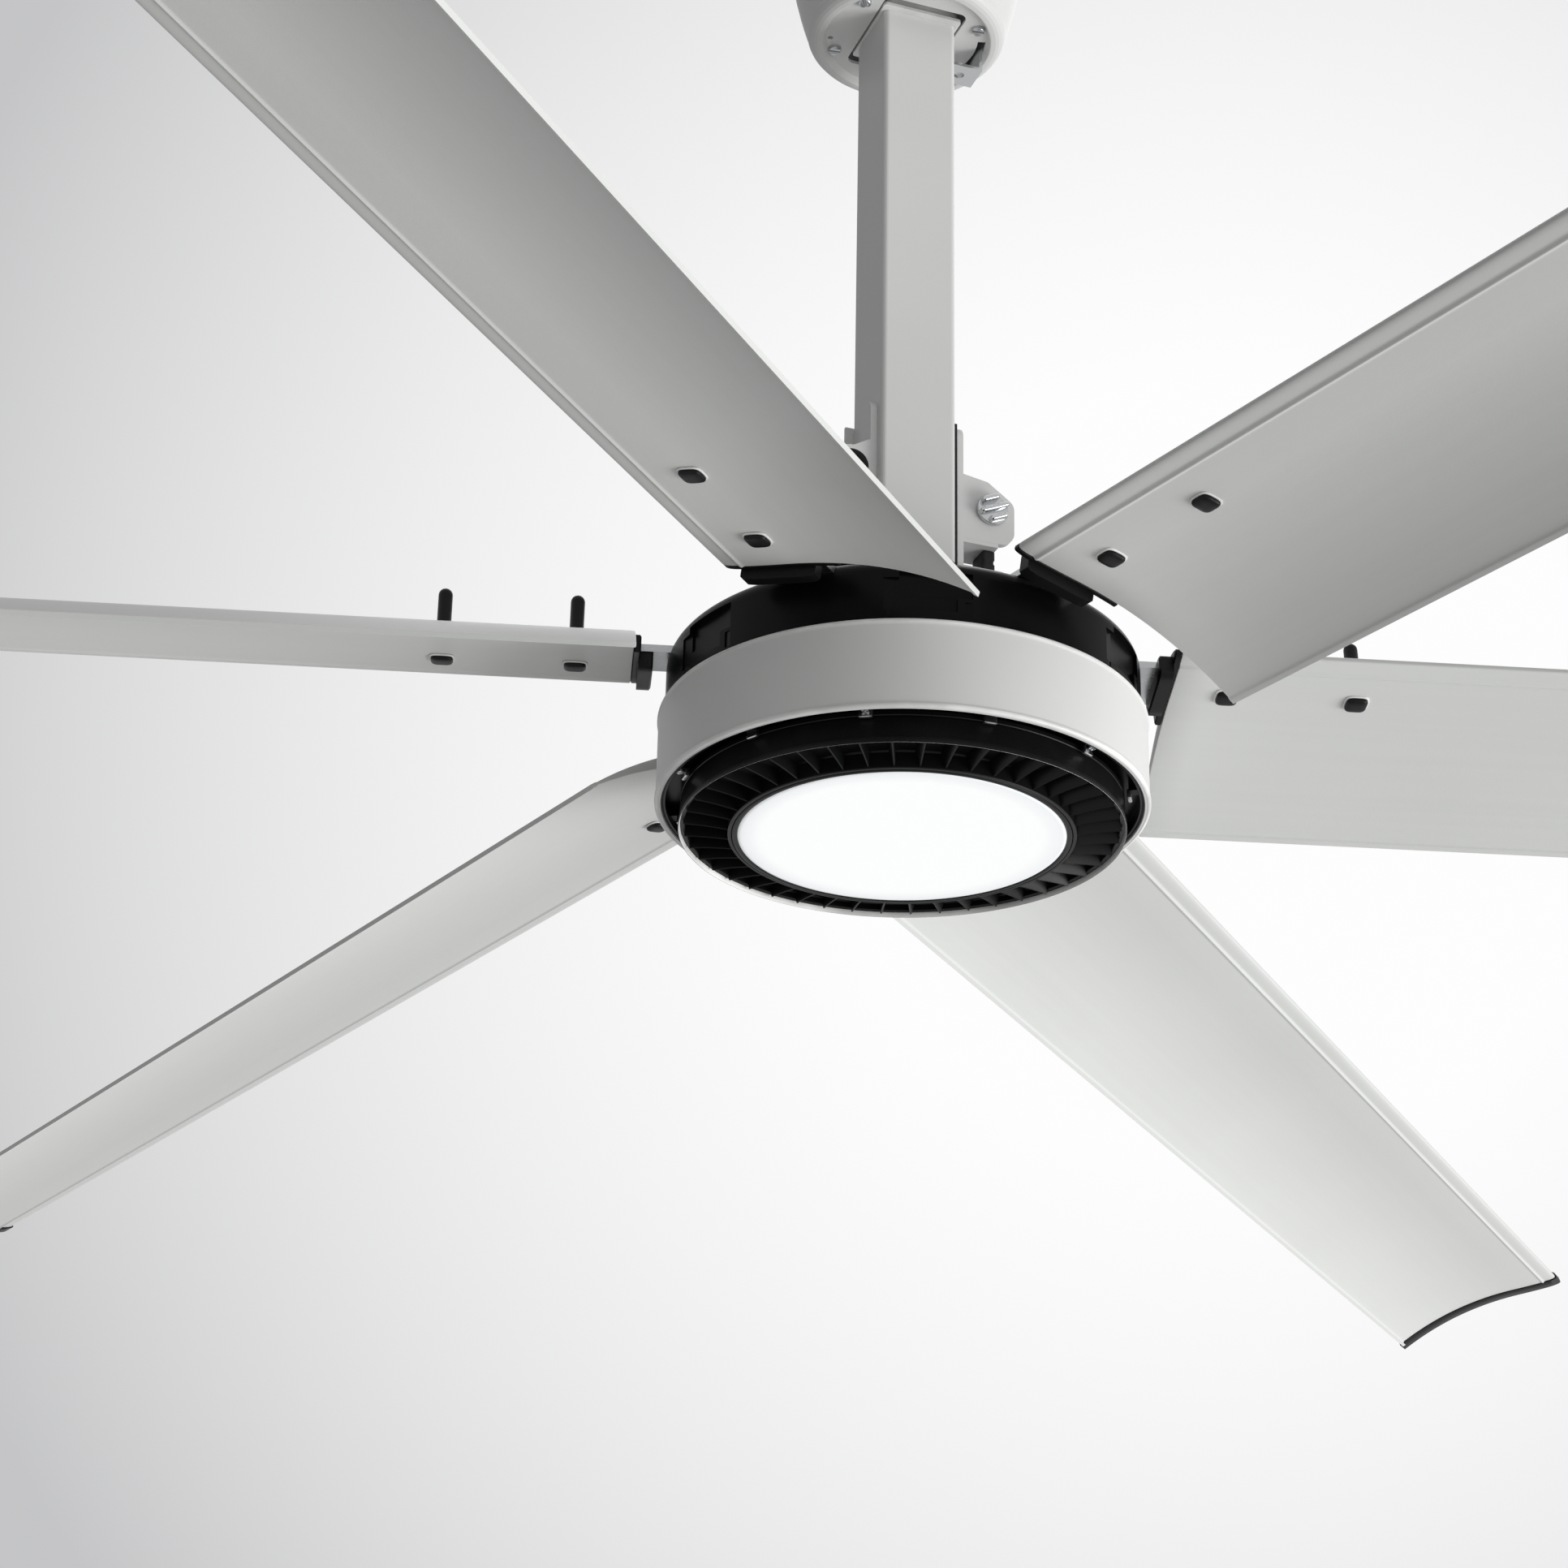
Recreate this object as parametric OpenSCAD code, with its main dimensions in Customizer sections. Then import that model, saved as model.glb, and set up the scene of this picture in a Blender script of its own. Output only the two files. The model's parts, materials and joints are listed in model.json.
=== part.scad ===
/* [Hanging] */
// Length of the square drop tube
tube_len = 448; // [300:1:900]
// Width across the square drop tube
tube_w = 45; // [42:0.5:47]
// Wall of the drop tube
tube_wall = 2.5; // [1.5:0.1:3.5]
// Corner radius of the drop tube
tube_corner = 3; // [1:0.5:5]
// Depth of the tube's top end below the ceiling
tube_top = 20; // [14:1:26]
// Depth of the hanger bolt's axis below the ceiling
hinge_drop = 45; // [42:1:52]
// Radius of the hanger bolt
hanger_bolt_r = 5; // [4:0.5:6]
// Swing of the fan to each side of plumb, in degrees
swing = 5; // [2:0.5:6]

/* [Ceiling plate and canopy] */
// Thickness of the ceiling plate
plate_t = 5; // [3:0.5:8]
// Radius of the ceiling plate
plate_r = 72; // [66:1:74]
// Bolt circle of the four ceiling bolts
bolt_circle = 112; // [104:1:124]
// Radius of each ceiling bolt hole
bolt_hole_r = 4.5; // [3.5:0.25:5.5]
// Radius of the supply cable's hole in the plate
cable_hole_r = 9; // [6:0.5:11]
// Thickness of the two hanger ears
ear_t = 5; // [4:0.5:7]
// Width of the two hanger ears
ear_w = 40; // [34:1:44]
// Height of the canopy
canopy_h = 112; // [104:1:130]
// Outer radius of the canopy at the ceiling
canopy_top_r = 80; // [78:1:90]
// Outer radius of the canopy near its bottom
canopy_low_r = 55; // [53:1:62]
// Wall of the canopy
canopy_wall = 2; // [1.2:0.2:3]
// Radius of the rolled corner round the canopy's bottom
canopy_corner = 8; // [6:0.5:10]
// Depth of the recess in the canopy's bottom
recess = 4; // [2:0.5:6]

/* [Blades] */
// Radius of the circle that the blade tips sweep
tip_r = 1372; // [700:2:1500]
// Radius at which the blades start
root_r = 148; // [144:1:160]
// Width of a blade from nose to tail
chord = 150; // [130:1:170]
// Largest thickness of a blade
blade_t = 12; // [11:0.5:16]
// Thickness of a blade's tail edge
tail_t = 1.6; // [1:0.1:2.5]
// Height of the arch of the blade's middle line
camber = 12; // [6:0.5:16]
// Angle of the blade to the horizontal
blade_angle = 18.6; // [12:0.2:24]
// Wall of the hollow in a blade's nose
blade_wall = 1.5; // [1.2:0.1:2]
// Length of the black cap on each blade tip
tip_cap_t = 10; // [4:0.5:12]
// Width of the steel arm that carries a blade
arm_w = 36; // [30:1:37]
// Thickness of the arm
arm_t = 4; // [3:0.25:4.5]
// Height of the arms above the face of the light
arm_z = 97.5; // [95:0.5:99]
// Radius of the blade bolts
blade_bolt_r = 2.5; // [2:0.25:3.5]
// First blade bolt, from the blade's root end
bolt_in = 31; // [20:1:40]
// Distance between the two blade bolts
bolt_step = 72; // [50:1:80]
// Width of a blade bolt's rounded square head
bolt_head = 12; // [9:0.5:15]
// Height of the capped bolt ends above the blade
cap_h = 31; // [12:1:36]

/* [Rotor] */
// Outer radius of the white drum band
drum_r = 132.5; // [130:0.5:136]
// Height of the drum band
drum_h = 48.5; // [44:0.5:50]
// Height of the drum's lower rim above the face of the light
drum_low = 14; // [10:0.5:15]
// Thickness of the drum band
drum_t = 3; // [2:0.25:4]
// Radius of the bead that runs round both rims of the drum
bead_r = 1.1; // [0.6:0.1:1.6]
// Wall of the two motor covers
cover_wall = 6; // [5:0.25:7]
// Height of the upper cover's shoulder
shoulder_z = 100; // [98:0.5:104]
// Radius that rounds the shoulder
shoulder_r = 9; // [6:0.5:11]
// Radius of the upper cover's neck
neck_r = 40; // [36:0.5:46]
// Height of the neck's top face
neck_z = 142; // [138:0.5:148]
// Radial thickness of the magnets
magnet_t = 4; // [3:0.25:5]
// Number of magnets
magnets_n = 28; // [20:4:40]
// Air gap between the magnets and the stator
air_gap = 1; // [0.6:0.1:1.5]
// Number of stator teeth
teeth_n = 24; // [18:3:30]

/* [Shaft and bearings] */
// Radius of the hollow shaft
shaft_r = 12.5; // [11:0.5:14]
// Radius of the wire way through the shaft
wire_r = 5.5; // [4:0.25:6]
// Outer radius of both ball bearings
bearing_r = 23.5; // [22.5:0.5:25]
// Width of both ball bearings
bearing_w = 12; // [11:0.5:13]
// Number of balls in a bearing
balls_n = 9; // [7:1:10]

/* [Light] */
// Radius of the lens that shows
lens_r = 88; // [80:1:92]
// Thickness of the lens
lens_t = 2.5; // [2:0.1:3]
// Width of the bezel round the lens
bezel_w = 3; // [2.4:0.2:4]
// Height by which the lens stands out of the trim ring
lens_proud = 3; // [0:0.5:3.5]
// Outer radius of the light's trim ring
trim_r = 120; // [118:0.5:121]
// Height of the trim ring's skirt
trim_h = 18; // [17:0.5:20]
// Number of fins in the trim ring
fins_n = 44; // [30:1:60]
// Thickness of each fin
fin_t = 1.4; // [1:0.1:2]
// Depth of the finned trough
fin_depth = 7; // [5:0.5:7.5]

/* [Yoke at the foot of the tube] */
// Height of the cross bolt above the tube's foot
cross_z = 60; // [52:1:66]
// Radius of the cross bolt
cross_r = 3; // [2.5:0.25:4]
// Width of the tongues that lie on the tube
tongue_w = 16; // [14:0.5:20]
// Thickness of the tongues
tongue_t = 4; // [3:0.25:6]
// Height of the tongues above the tube's foot
tongue_h = 98; // [88:1:120]
// Reach of the flat ear from the tube's side
ear_reach = 35; // [33:0.5:40]
// Reach of the hooked ear from the tube's side
hook_reach = 26; // [24:0.5:30]
// Radius of the hole in the hooked ear's bush
eye_r = 5; // [4:0.25:6]

/* [Hidden] */
$fn = 64;

// Clearances: a face beside a face, a pin in its hole, a running bore, a cut that runs past
seat = 0.3;
pin_fit = 0.1;
run_fit = 0.05;
eps = 1;

// Six blades; the rest angle turns the first one to where the fan came to rest
blades = 6;
rotor_turn = 44.2;

// Heights above the face of the light
floor_z = trim_h + 4;
floor_t = 4;
low_bearing_z = floor_z + 8;
split_z = drum_low + drum_h + eps;
up_bearing_z = neck_z - 6 - bearing_w;
hub_top_z = neck_z + 10;
bar_t = 6;
foot_z = hub_top_z + bar_t + seat;
lens_drop = tube_top + tube_len + foot_z;

// Motor, from the outside in
rotor_r = drum_r - drum_t - seat;
skirt_in = rotor_r - 1.6;
screw_ring = rotor_r - cover_wall + 2;
tab_z = floor_z - 5;
ring_r = rotor_r - cover_wall - pin_fit;
ring_t = 6;
magnet_r = ring_r - ring_t - pin_fit;
stator_r = magnet_r - magnet_t - air_gap;
arm_ring_z = arm_z - 10;
core_low = low_bearing_z + bearing_w + 6;
core_h = 34;
core_r = 30;
coil_over = 5;
tooth_w = 7;
tooth_in = 62;
slot_r = stator_r - 6;
socket_in = 104;

// Tube and yoke
half = tube_w / 2;
ear_in = half + seat + 4;
ear_out = ear_in + ear_t;
tongue_y = -8;
cross_y = tongue_y + 6;
foot_plate_t = 3;
foot_bolt_x = 14.5;
foot_bolt_y = tongue_y + 9;
shelf_z = 17.5;
shelf_t = 3;
stud_r = 3;
stud_x = ear_reach - 11;
stud_z = cross_z - 20;
knob_r = 9.4;
knob_t = 3;
rib_t = 4;
bar_w = tube_w - 5;
bar_len = tube_w + 2 * ear_reach - 3;
boss_w = tube_w - 2 * tube_wall - 2 * seat;
boss_h = cross_z + 20;
pad_t = 2.8;
plate_y = tongue_y - tongue_w / 2;
plate_ear_t = 4;
bush_wall = 3.4;
bush_r = eye_r + bush_wall;
bush_lip = 1.2;
bush_flange = 0.8;
hook_r = bush_r + 3.4;
hook_mouth = 7;
eye_x = hook_reach - hook_r;
eye_z = cross_z - 7;
nut_t = 5;

// Canopy mouth: what the collar needs when the fan swings about the hanger bolt
collar_t = 2;
collar_lip = 2.5;
collar_h = 12;
mouth_z = -canopy_h + recess;
mouth_x = half + collar_t + 1.5;
reach_y = half + collar_t + collar_lip;
mouth_y = reach_y * cos(swing) + (canopy_h - recess - hinge_drop) * sin(swing) + 1.5;
recess_r = canopy_low_r - 5;
stud_ring = recess_r - 6;
stud_turn = [34, 146, 214, 326];
strap_x = recess_r - 6;
strap_y = [-8, 10];

// Blade section: share of the width at which the arm's middle lies, where it is thickest, its two
// hollows, the reach of cuts square to it, and how far the root plug and its block stand out
arm_u = 0.233;
thick_u = 0.22;
cavity_u = [0.07, 0.44];
tail_cavity_u = [0.47, 0.8];
steps = 22;
through = 2 * blade_t;
plug_t = 4;
plug_block = 11;

function mid_line(u) = camber * 4 * u * (1 - u);
function nose_law(u) = sqrt(max(0, 1 - pow(1 - u / thick_u, 2)));
function tail_law(u) = 1 - pow((u - thick_u) / (1 - thick_u), 1.2);
function half_t(u) = tail_t / 2 + (blade_t - tail_t) / 2 * (u < thick_u ? nose_law(u) : tail_law(u));
function bunch(i, n) = 0.5 - 0.5 * cos(180 * i / n);
camber_slope = atan(camber * 4 * (1 - 2 * arm_u) / chord);
arm_pitch = blade_angle - camber_slope;

// Outline of the section between two shares of the width, grown or shrunk by g
function section(u0, u1, g) = concat(
    [for (i = [0:steps]) let (u = u0 + (u1 - u0) * bunch(i, steps))
        [(u - arm_u) * chord + (2 * bunch(i, steps) - 1) * max(g, 0), mid_line(u) + half_t(u) + g]],
    [for (i = [steps:-1:0]) let (u = u0 + (u1 - u0) * bunch(i, steps))
        [(u - arm_u) * chord + (2 * bunch(i, steps) - 1) * max(g, 0), mid_line(u) - half_t(u) - g]]);

// Corner radius of a bolt's hexagon, as a share of the bolt's own radius
hex_share = 1.9;

function arc(cx, cy, r, a0, a1, n) = [for (i = [0:n]) let (a = a0 + (a1 - a0) * i / n)
    [cx + r * cos(a), cy + r * sin(a)]];
function round_rect(w, h, r) = concat(arc(w / 2 - r, h / 2 - r, r, 0, 90, 5),
    arc(r - w / 2, h / 2 - r, r, 90, 180, 5), arc(r - w / 2, r - h / 2, r, 180, 270, 5),
    arc(w / 2 - r, r - h / 2, r, 270, 360, 5));

// Radius of the canopy's outer face at a height above its bottom
function canopy_at(h) = canopy_low_r + (canopy_top_r - canopy_low_r) * pow(h / canopy_h, 0.65);

// Height of the upper cover's roof over a radius, between the neck and the shoulder
roof_slope = 0.486;
function roof_at(r) = shoulder_z + (rotor_r - shoulder_r - r) * roof_slope;

module hub() { translate([0, 0, -lens_drop]) children(); }
module foot() { translate([0, 0, foot_z - lens_drop]) children(); }
module ring(r0, r1, z0, z1) {
    translate([0, 0, z0]) difference() {
        cylinder(r = r1, h = z1 - z0);
        translate([0, 0, -eps]) cylinder(r = r0, h = z1 - z0 + 2 * eps);
    }
}
module along_x(x0, x1, r) { translate([x0, 0, 0]) rotate([0, 90, 0]) cylinder(r = r, h = x1 - x0); }
module hex(r, h) { cylinder(r = r, h = h, $fn = 6); }
module box(lo, hi) { translate(lo) cube(hi - lo); }

// Frame of one blade: X runs out along the arm, Y to the tail, Z square to the arm
module blade_frame(i) {
    hub() rotate([0, 0, rotor_turn + 360 / blades * (i - 1)]) translate([0, 0, arm_z])
        rotate([-arm_pitch, 0, 0]) children();
}
module each_blade() { for (i = [1:blades]) blade_frame(i) children(); }
module extrude_x(x0, x1) { translate([x0, 0, 0]) rotate([90, 0, 90]) linear_extrude(x1 - x0) children(); }
module blade_outline(u0, u1, g) {
    rotate(-camber_slope) translate([0, -mid_line(arm_u)]) polygon(section(u0, u1, g));
}
module at_bolts() { for (s = [bolt_in, bolt_in + bolt_step]) translate([root_r + s, 0, 0]) children(); }

// Ceiling side

module ceiling_bracket() color("silver") {
    difference() {
        union() {
            translate([0, 0, -plate_t]) cylinder(r = plate_r, h = plate_t);
            for (s = [-1, 1]) translate([s * (ear_in + ear_t / 2), 0, 0]) {
                box([-ear_t / 2, -ear_w / 2, -hinge_drop], [ear_t / 2, ear_w / 2, -plate_t / 2]);
                translate([0, 0, -hinge_drop]) along_x(-ear_t / 2, ear_t / 2, ear_w / 2);
            }
        }
        for (a = [45:90:315]) rotate(a) translate([bolt_circle / 2, 0, -plate_t - eps])
            cylinder(r = bolt_hole_r, h = plate_t + 2 * eps);
        translate([0, 0, -plate_t - eps]) cylinder(r = cable_hole_r, h = plate_t + 2 * eps);
        translate([0, 0, -hinge_drop]) along_x(-plate_r, plate_r, hanger_bolt_r + pin_fit);
    }
}

module hanger_bolt() color("gainsboro") {
    translate([0, 0, -hinge_drop]) {
        along_x(-ear_out, ear_out + 2 + hanger_bolt_r * 1.5, hanger_bolt_r);
        translate([-ear_out - pin_fit, 0, 0]) rotate([0, -90, 0])
            hex(hanger_bolt_r * hex_share, hanger_bolt_r * 1.3);
        along_x(-ear_out - pin_fit - eps, -ear_out, hanger_bolt_r);
    }
}

module hanger_nut() color("gainsboro") {
    translate([ear_out + pin_fit, 0, -hinge_drop]) difference() {
        union() {
            rotate([0, 90, 0]) cylinder(r = hanger_bolt_r * 2, h = 1.5);
            translate([1.4, 0, 0]) rotate([0, 90, 0]) hex(hanger_bolt_r * hex_share, hanger_bolt_r * 1.5);
        }
        along_x(-eps, 20, hanger_bolt_r + pin_fit);
    }
}

module canopy() color("whitesmoke") {
    n = 18;
    h0 = canopy_corner;
    outer = [for (i = [0:n]) let (h = h0 + (canopy_h - 1 - h0) * i / n) [canopy_at(h), h - canopy_h]];
    inner = [for (p = outer) p - [canopy_wall, 0]];
    cx = canopy_at(h0) - canopy_corner;
    difference() {
        rotate_extrude($fn = 96) polygon(concat(
            [[cable_hole_r / 2, mouth_z], [recess_r - 2, mouth_z], [recess_r, -canopy_h + 0.6],
             [recess_r + 0.6, -canopy_h]],
            arc(cx, canopy_corner - canopy_h, canopy_corner, 270, 360, 6), outer,
            [for (i = [n:-1:0]) inner[i]],
            arc(cx, canopy_corner - canopy_h, canopy_corner - canopy_wall, 0, -60, 5),
            [[recess_r + canopy_wall - 1, mouth_z + canopy_wall], [cable_hole_r / 2, mouth_z + canopy_wall]]));
        translate([0, 0, mouth_z - eps]) linear_extrude(canopy_wall + 2 * eps)
            polygon(round_rect(2 * mouth_x, 2 * mouth_y, 5));
        for (a = stud_turn) rotate(a) translate([stud_ring, 0, mouth_z - eps])
            cylinder(r = 2.2, h = canopy_wall + 2 * eps);
        strap_slot();
        rotate(160) translate([stud_ring + 1.5, 0, mouth_z - eps]) cylinder(r = 1.6, h = canopy_wall + 2 * eps);
        rotate(237) translate([0, -canopy_top_r - 4, -canopy_h + 14]) rotate([-90, 0, 0]) cylinder(r = 1.5, h = 60);
    }
}

// The curved slot that the safety strap comes down through
module strap_slot() {
    translate([0, 0, mouth_z - eps]) linear_extrude(canopy_wall + 2 * eps)
        polygon(concat(arc(0, 0, strap_x + 3.8, -18, 18, 8), arc(0, 0, strap_x - 1, 18, -18, 8)));
}

module canopy_studs() color("silver") {
    for (a = stud_turn) rotate(a) translate([stud_ring, 0, mouth_z + canopy_wall + pin_fit]) difference() {
        hex(4.4, canopy_h - recess - canopy_wall - pin_fit - plate_t - pin_fit);
        translate([0, 0, -eps]) cylinder(r = 2.1, h = 20);
    }
}

module canopy_screws() color("gainsboro") {
    for (a = stud_turn) rotate(a) translate([stud_ring, 0, mouth_z - pin_fit]) rotate([0, 0, 25]) {
        cylinder(r = 2, h = 14);
        difference() {
            translate([0, 0, -2.4]) cylinder(r = 4, h = 2.4);
            box([-5, -0.6, -2.5], [5, 0.6, -1.3]);
        }
    }
    translate([strap_x - 5, 1, 0]) {
        translate([0, 0, -plate_t - 2 - 2.6]) cylinder(r = 3.6, h = 2.5);
        translate([0, 0, -plate_t - 2 - 0.2]) cylinder(r = 1.8, h = 2.1);
    }
}

module safety_strap() color("lightgray") {
    top = -plate_t - pin_fit;
    low = -canopy_h - 12;
    difference() {
        union() {
            box([strap_x, strap_y[0], low], [strap_x + 2, strap_y[1], top]);
            box([strap_x - 10, strap_y[0], top - 2], [strap_x + 1, strap_y[1], top]);
            box([half + 3.5, strap_y[0], low], [strap_x + 1, strap_y[1], low + 2]);
        }
        translate([strap_x - 5, 1, top - 2 - eps]) cylinder(r = 2, h = 2 + 2 * eps);
        translate([(half + strap_x + 3) / 2, 1, low - eps]) cylinder(r = 3, h = 2 + 2 * eps);
    }
}

module terminal_block() color("ivory") {
    w = 11;
    translate([-strap_x - 8, 0, -plate_t - pin_fit - 16]) difference() {
        box([-w / 2 - 1, -18, 0], [w / 2 + 1, 18, 16]);
        for (y = [-12, -4, 4, 12]) translate([0, y, -eps]) cylinder(r = 2.4, h = 6);
        for (y = [-12, -4, 4, 12]) translate([0, y, 6]) along_x(-w, w, 1.6);
    }
}

// Drop tube and yoke

module tube_section(w) { polygon(round_rect(w, w, tube_corner)); }

module cross_hole(x0, x1, r) {
    translate([0, cross_y, cross_z]) along_x(x0, x1, r);
}

module drop_tube() color("whitesmoke") {
    in_w = tube_w - 2 * tube_wall;
    foot() difference() {
        linear_extrude(tube_len) tube_section(tube_w);
        translate([0, 0, -eps]) linear_extrude(tube_len + 2 * eps)
            polygon(round_rect(in_w, in_w, max(0.5, tube_corner - tube_wall)));
        translate([0, 0, tube_len + tube_top - hinge_drop]) along_x(-tube_w, tube_w, hanger_bolt_r + 4 + pin_fit);
        cross_hole(-tube_w, tube_w, cross_r + pin_fit);
    }
}

module hanger_bushes() color("dimgray") {
    sleeve_r = hanger_bolt_r + 4;
    for (s = [0, 180]) rotate(s) translate([0, 0, -hinge_drop]) difference() {
        union() {
            along_x(half - tube_wall - 1.5, half + 2, sleeve_r);
            along_x(half + pin_fit, half + 4, sleeve_r + 4);
        }
        along_x(0, tube_w, hanger_bolt_r + run_fit);
    }
}

module rod_collar() color("white") {
    in_w = tube_w + 2 * pin_fit;
    out_w = tube_w + 2 * collar_t;
    translate([0, 0, mouth_z]) difference() {
        union() {
            linear_extrude(collar_h) polygon(round_rect(out_w, out_w, tube_corner + collar_t));
            linear_extrude(2) polygon(round_rect(out_w, out_w + 2 * collar_lip, 2));
            translate([-half - 1, 0, collar_h / 2]) rotate([0, -90, 0]) cylinder(r = 3, h = collar_t);
        }
        translate([0, 0, -eps]) linear_extrude(collar_h + 2 * eps) polygon(round_rect(in_w, in_w, tube_corner));
    }
}

// Outline of the hooked ear in the plane of its plate: X out from the tube, Y up from the foot
module hook_outline() {
    difference() {
        union() {
            translate([eye_x, eye_z]) circle(r = hook_r);
            polygon(concat([[0.2, 15.5], [eye_x + 5, 15.5]], arc(eye_x + 15.5, 30, 10, 215, 130, 8),
                [[eye_x + hook_r - 3, eye_z - 6], [eye_x, eye_z + hook_r - 0.2], [0.2, eye_z + hook_r + 8]]));
        }
        translate([eye_x, eye_z]) circle(r = bush_r + pin_fit);
        translate([eye_x, eye_z]) rotate(-14) translate([0, -hook_mouth / 2]) square([20, hook_mouth]);
    }
}

module hook_bracket() color("white") {
    foot() mirror([1, 0, 0]) translate([half + pin_fit, 0, 0]) difference() {
        union() {
            tongue(tongue_h);
            translate([0, plate_y + plate_ear_t, 0]) rotate([90, 0, 0]) linear_extrude(plate_ear_t) hook_outline();
            box([0, plate_y + 0.1, 0], [hook_reach + 2, tongue_y + tongue_w, foot_plate_t]);
            box([0.1, tongue_y + tongue_w + 10, 76], [6, tongue_y + tongue_w + 12, 96]);
            box([0.1, tongue_y, 80], [2, tongue_y + tongue_w + 12, 92]);
        }
        cross_hole(-eps, 20, cross_r + pin_fit);
        translate([foot_bolt_x, foot_bolt_y, -eps]) cylinder(r = cross_r + pin_fit, h = foot_plate_t + 2 * eps);
    }
}

// A strip with a round top that lies against the tube's side
module tongue(h) {
    box([0, tongue_y - tongue_w / 2, 0], [tongue_t, tongue_y + tongue_w / 2, h - tongue_w / 2]);
    translate([0, tongue_y, h - tongue_w / 2]) along_x(0, tongue_t, tongue_w / 2);
}

// Outline of the flat ear: a plate with a chamfered top corner and a round nose
module ear_outline() {
    top = cross_z + 1;
    polygon(concat([[0.2, 20], [ear_reach - 12, 20]], arc(ear_reach - 9, 29, 9, -80, -10, 6),
        arc(ear_reach - 7, top - 18, 7, 0, 50, 4), [[ear_reach - 16, top - 3], [0.2, top]]));
}

module ear_bracket() color("white") {
    x0 = pad_t + 2 * pin_fit;
    foot() translate([half, 0, 0]) difference() {
        union() {
            translate([x0, 0, 0]) tongue(tongue_h - 6);
            translate([x0, plate_y + plate_ear_t, 0]) rotate([90, 0, 0]) linear_extrude(plate_ear_t) ear_outline();
            box([x0, plate_y + 0.1, 0], [ear_reach - 4, tongue_y + tongue_w, foot_plate_t]);
            box([x0, plate_y + 0.1, shelf_z], [ear_reach - 7, tongue_y + tongue_w, shelf_z + shelf_t]);
        }
        cross_hole(-eps, 30, cross_r + pin_fit);
        translate([foot_bolt_x, foot_bolt_y, -eps]) cylinder(r = cross_r + pin_fit, h = foot_plate_t + 2 * eps);
        translate([stud_x, 0, stud_z]) rotate([90, 0, 0]) cylinder(r = stud_r + pin_fit, h = 30);
    }
}

module tongue_pads() color("black") {
    foot() difference() {
        translate([half + pin_fit, tongue_y - tongue_w / 2 - 1, 1])
            cube([pad_t, tongue_w + 2, tongue_h - 8]);
        cross_hole(half - eps, half + 10, cross_r + pin_fit);
    }
}

module eye_bush() color("black") {
    foot() mirror([1, 0, 0]) translate([half + pin_fit + eye_x, 0, eye_z])
        translate([0, plate_y + plate_ear_t + bush_flange + pin_fit, 0]) rotate([90, 0, 0]) difference() {
            union() {
                cylinder(r = bush_r, h = bush_flange + plate_ear_t);
                cylinder(r = bush_r + bush_lip, h = bush_flange);
                translate([0, 0, bush_flange + plate_ear_t + 2 * pin_fit])
                    cylinder(r = bush_r + bush_lip, h = bush_flange);
                cylinder(r = bush_r - pin_fit, h = bush_flange + plate_ear_t + 4 * pin_fit);
            }
            translate([0, 0, -eps]) cylinder(r = eye_r, h = plate_ear_t + 4);
        }
}

module cross_bolt() color("gainsboro") {
    left = half + pin_fit + tongue_t + pin_fit;
    right = half + pad_t + 2 * pin_fit + tongue_t;
    foot() translate([0, cross_y, cross_z]) {
        along_x(-left - 0.5, right + nut_t + 2.5, cross_r);
        translate([-left, 0, 0]) rotate([0, -90, 0]) hex(cross_r * hex_share, cross_r * 1.4);
    }
}

// Nuts of the cross bolt and of the clamp knob's stud
module yoke_nuts() color("gainsboro") {
    right = half + pad_t + 2 * pin_fit + tongue_t + pin_fit;
    foot() {
        translate([right, cross_y, cross_z]) rotate([0, 90, 0]) difference() {
            hex(cross_r * hex_share, nut_t);
            translate([0, 0, -eps]) cylinder(r = cross_r + pin_fit, h = nut_t + 2 * eps);
        }
        translate([half + stud_x, plate_y + plate_ear_t + pin_fit + nut_t, stud_z])
            rotate([90, 0, 0]) difference() {
                hex(stud_r * hex_share, nut_t);
                translate([0, 0, -eps]) cylinder(r = stud_r + pin_fit, h = nut_t + 2 * eps);
            }
    }
}

// Round knob with three slanting ribs across its face, on a stud through the flat ear
module clamp_knob() color("silver") {
    foot() translate([half + stud_x, plate_y - pin_fit, stud_z]) rotate([90, 0, 0]) {
        cylinder(r = knob_r, h = knob_t);
        translate([0, 0, -plate_ear_t - nut_t - 2]) cylinder(r = stud_r, h = plate_ear_t + nut_t + 3);
        intersection() {
            cylinder(r = knob_r, h = knob_t + rib_t);
            rotate(24) for (y = [-6, 0, 6]) translate([-12, y - 1.6, 0]) cube([24, 3.2, knob_t + rib_t]);
        }
    }
}

module foot_bolts() color("gainsboro") {
    foot() at_foot_bolts() {
        translate([0, 0, foot_plate_t + pin_fit]) hex(cross_r * hex_share, nut_t);
        translate([0, 0, -bar_t - 4]) cylinder(r = cross_r, h = bar_t + foot_plate_t + 12);
        translate([0, 0, -bar_t - 4.5 - seat]) hex(cross_r * hex_share, 4);
    }
}
module at_foot_bolts() {
    translate([half + foot_bolt_x, foot_bolt_y, 0]) children();
    translate([-half - foot_bolt_x - pin_fit, foot_bolt_y, 0]) children();
}

// Black buffers that sit on the feet beside the bolts
module buffer_blocks() color("black") {
    foot() {
        translate([half + ear_reach - 14.5, plate_y + plate_ear_t + pin_fit, foot_plate_t + pin_fit])
            cube([7.5, tongue_w - pin_fit, shelf_z - foot_plate_t - 2 * pin_fit]);
        translate([-half - hook_reach - 1, plate_y + plate_ear_t + 1, foot_plate_t + pin_fit])
            cube([4.5, tongue_w - 2, 9]);
    }
}

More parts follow.
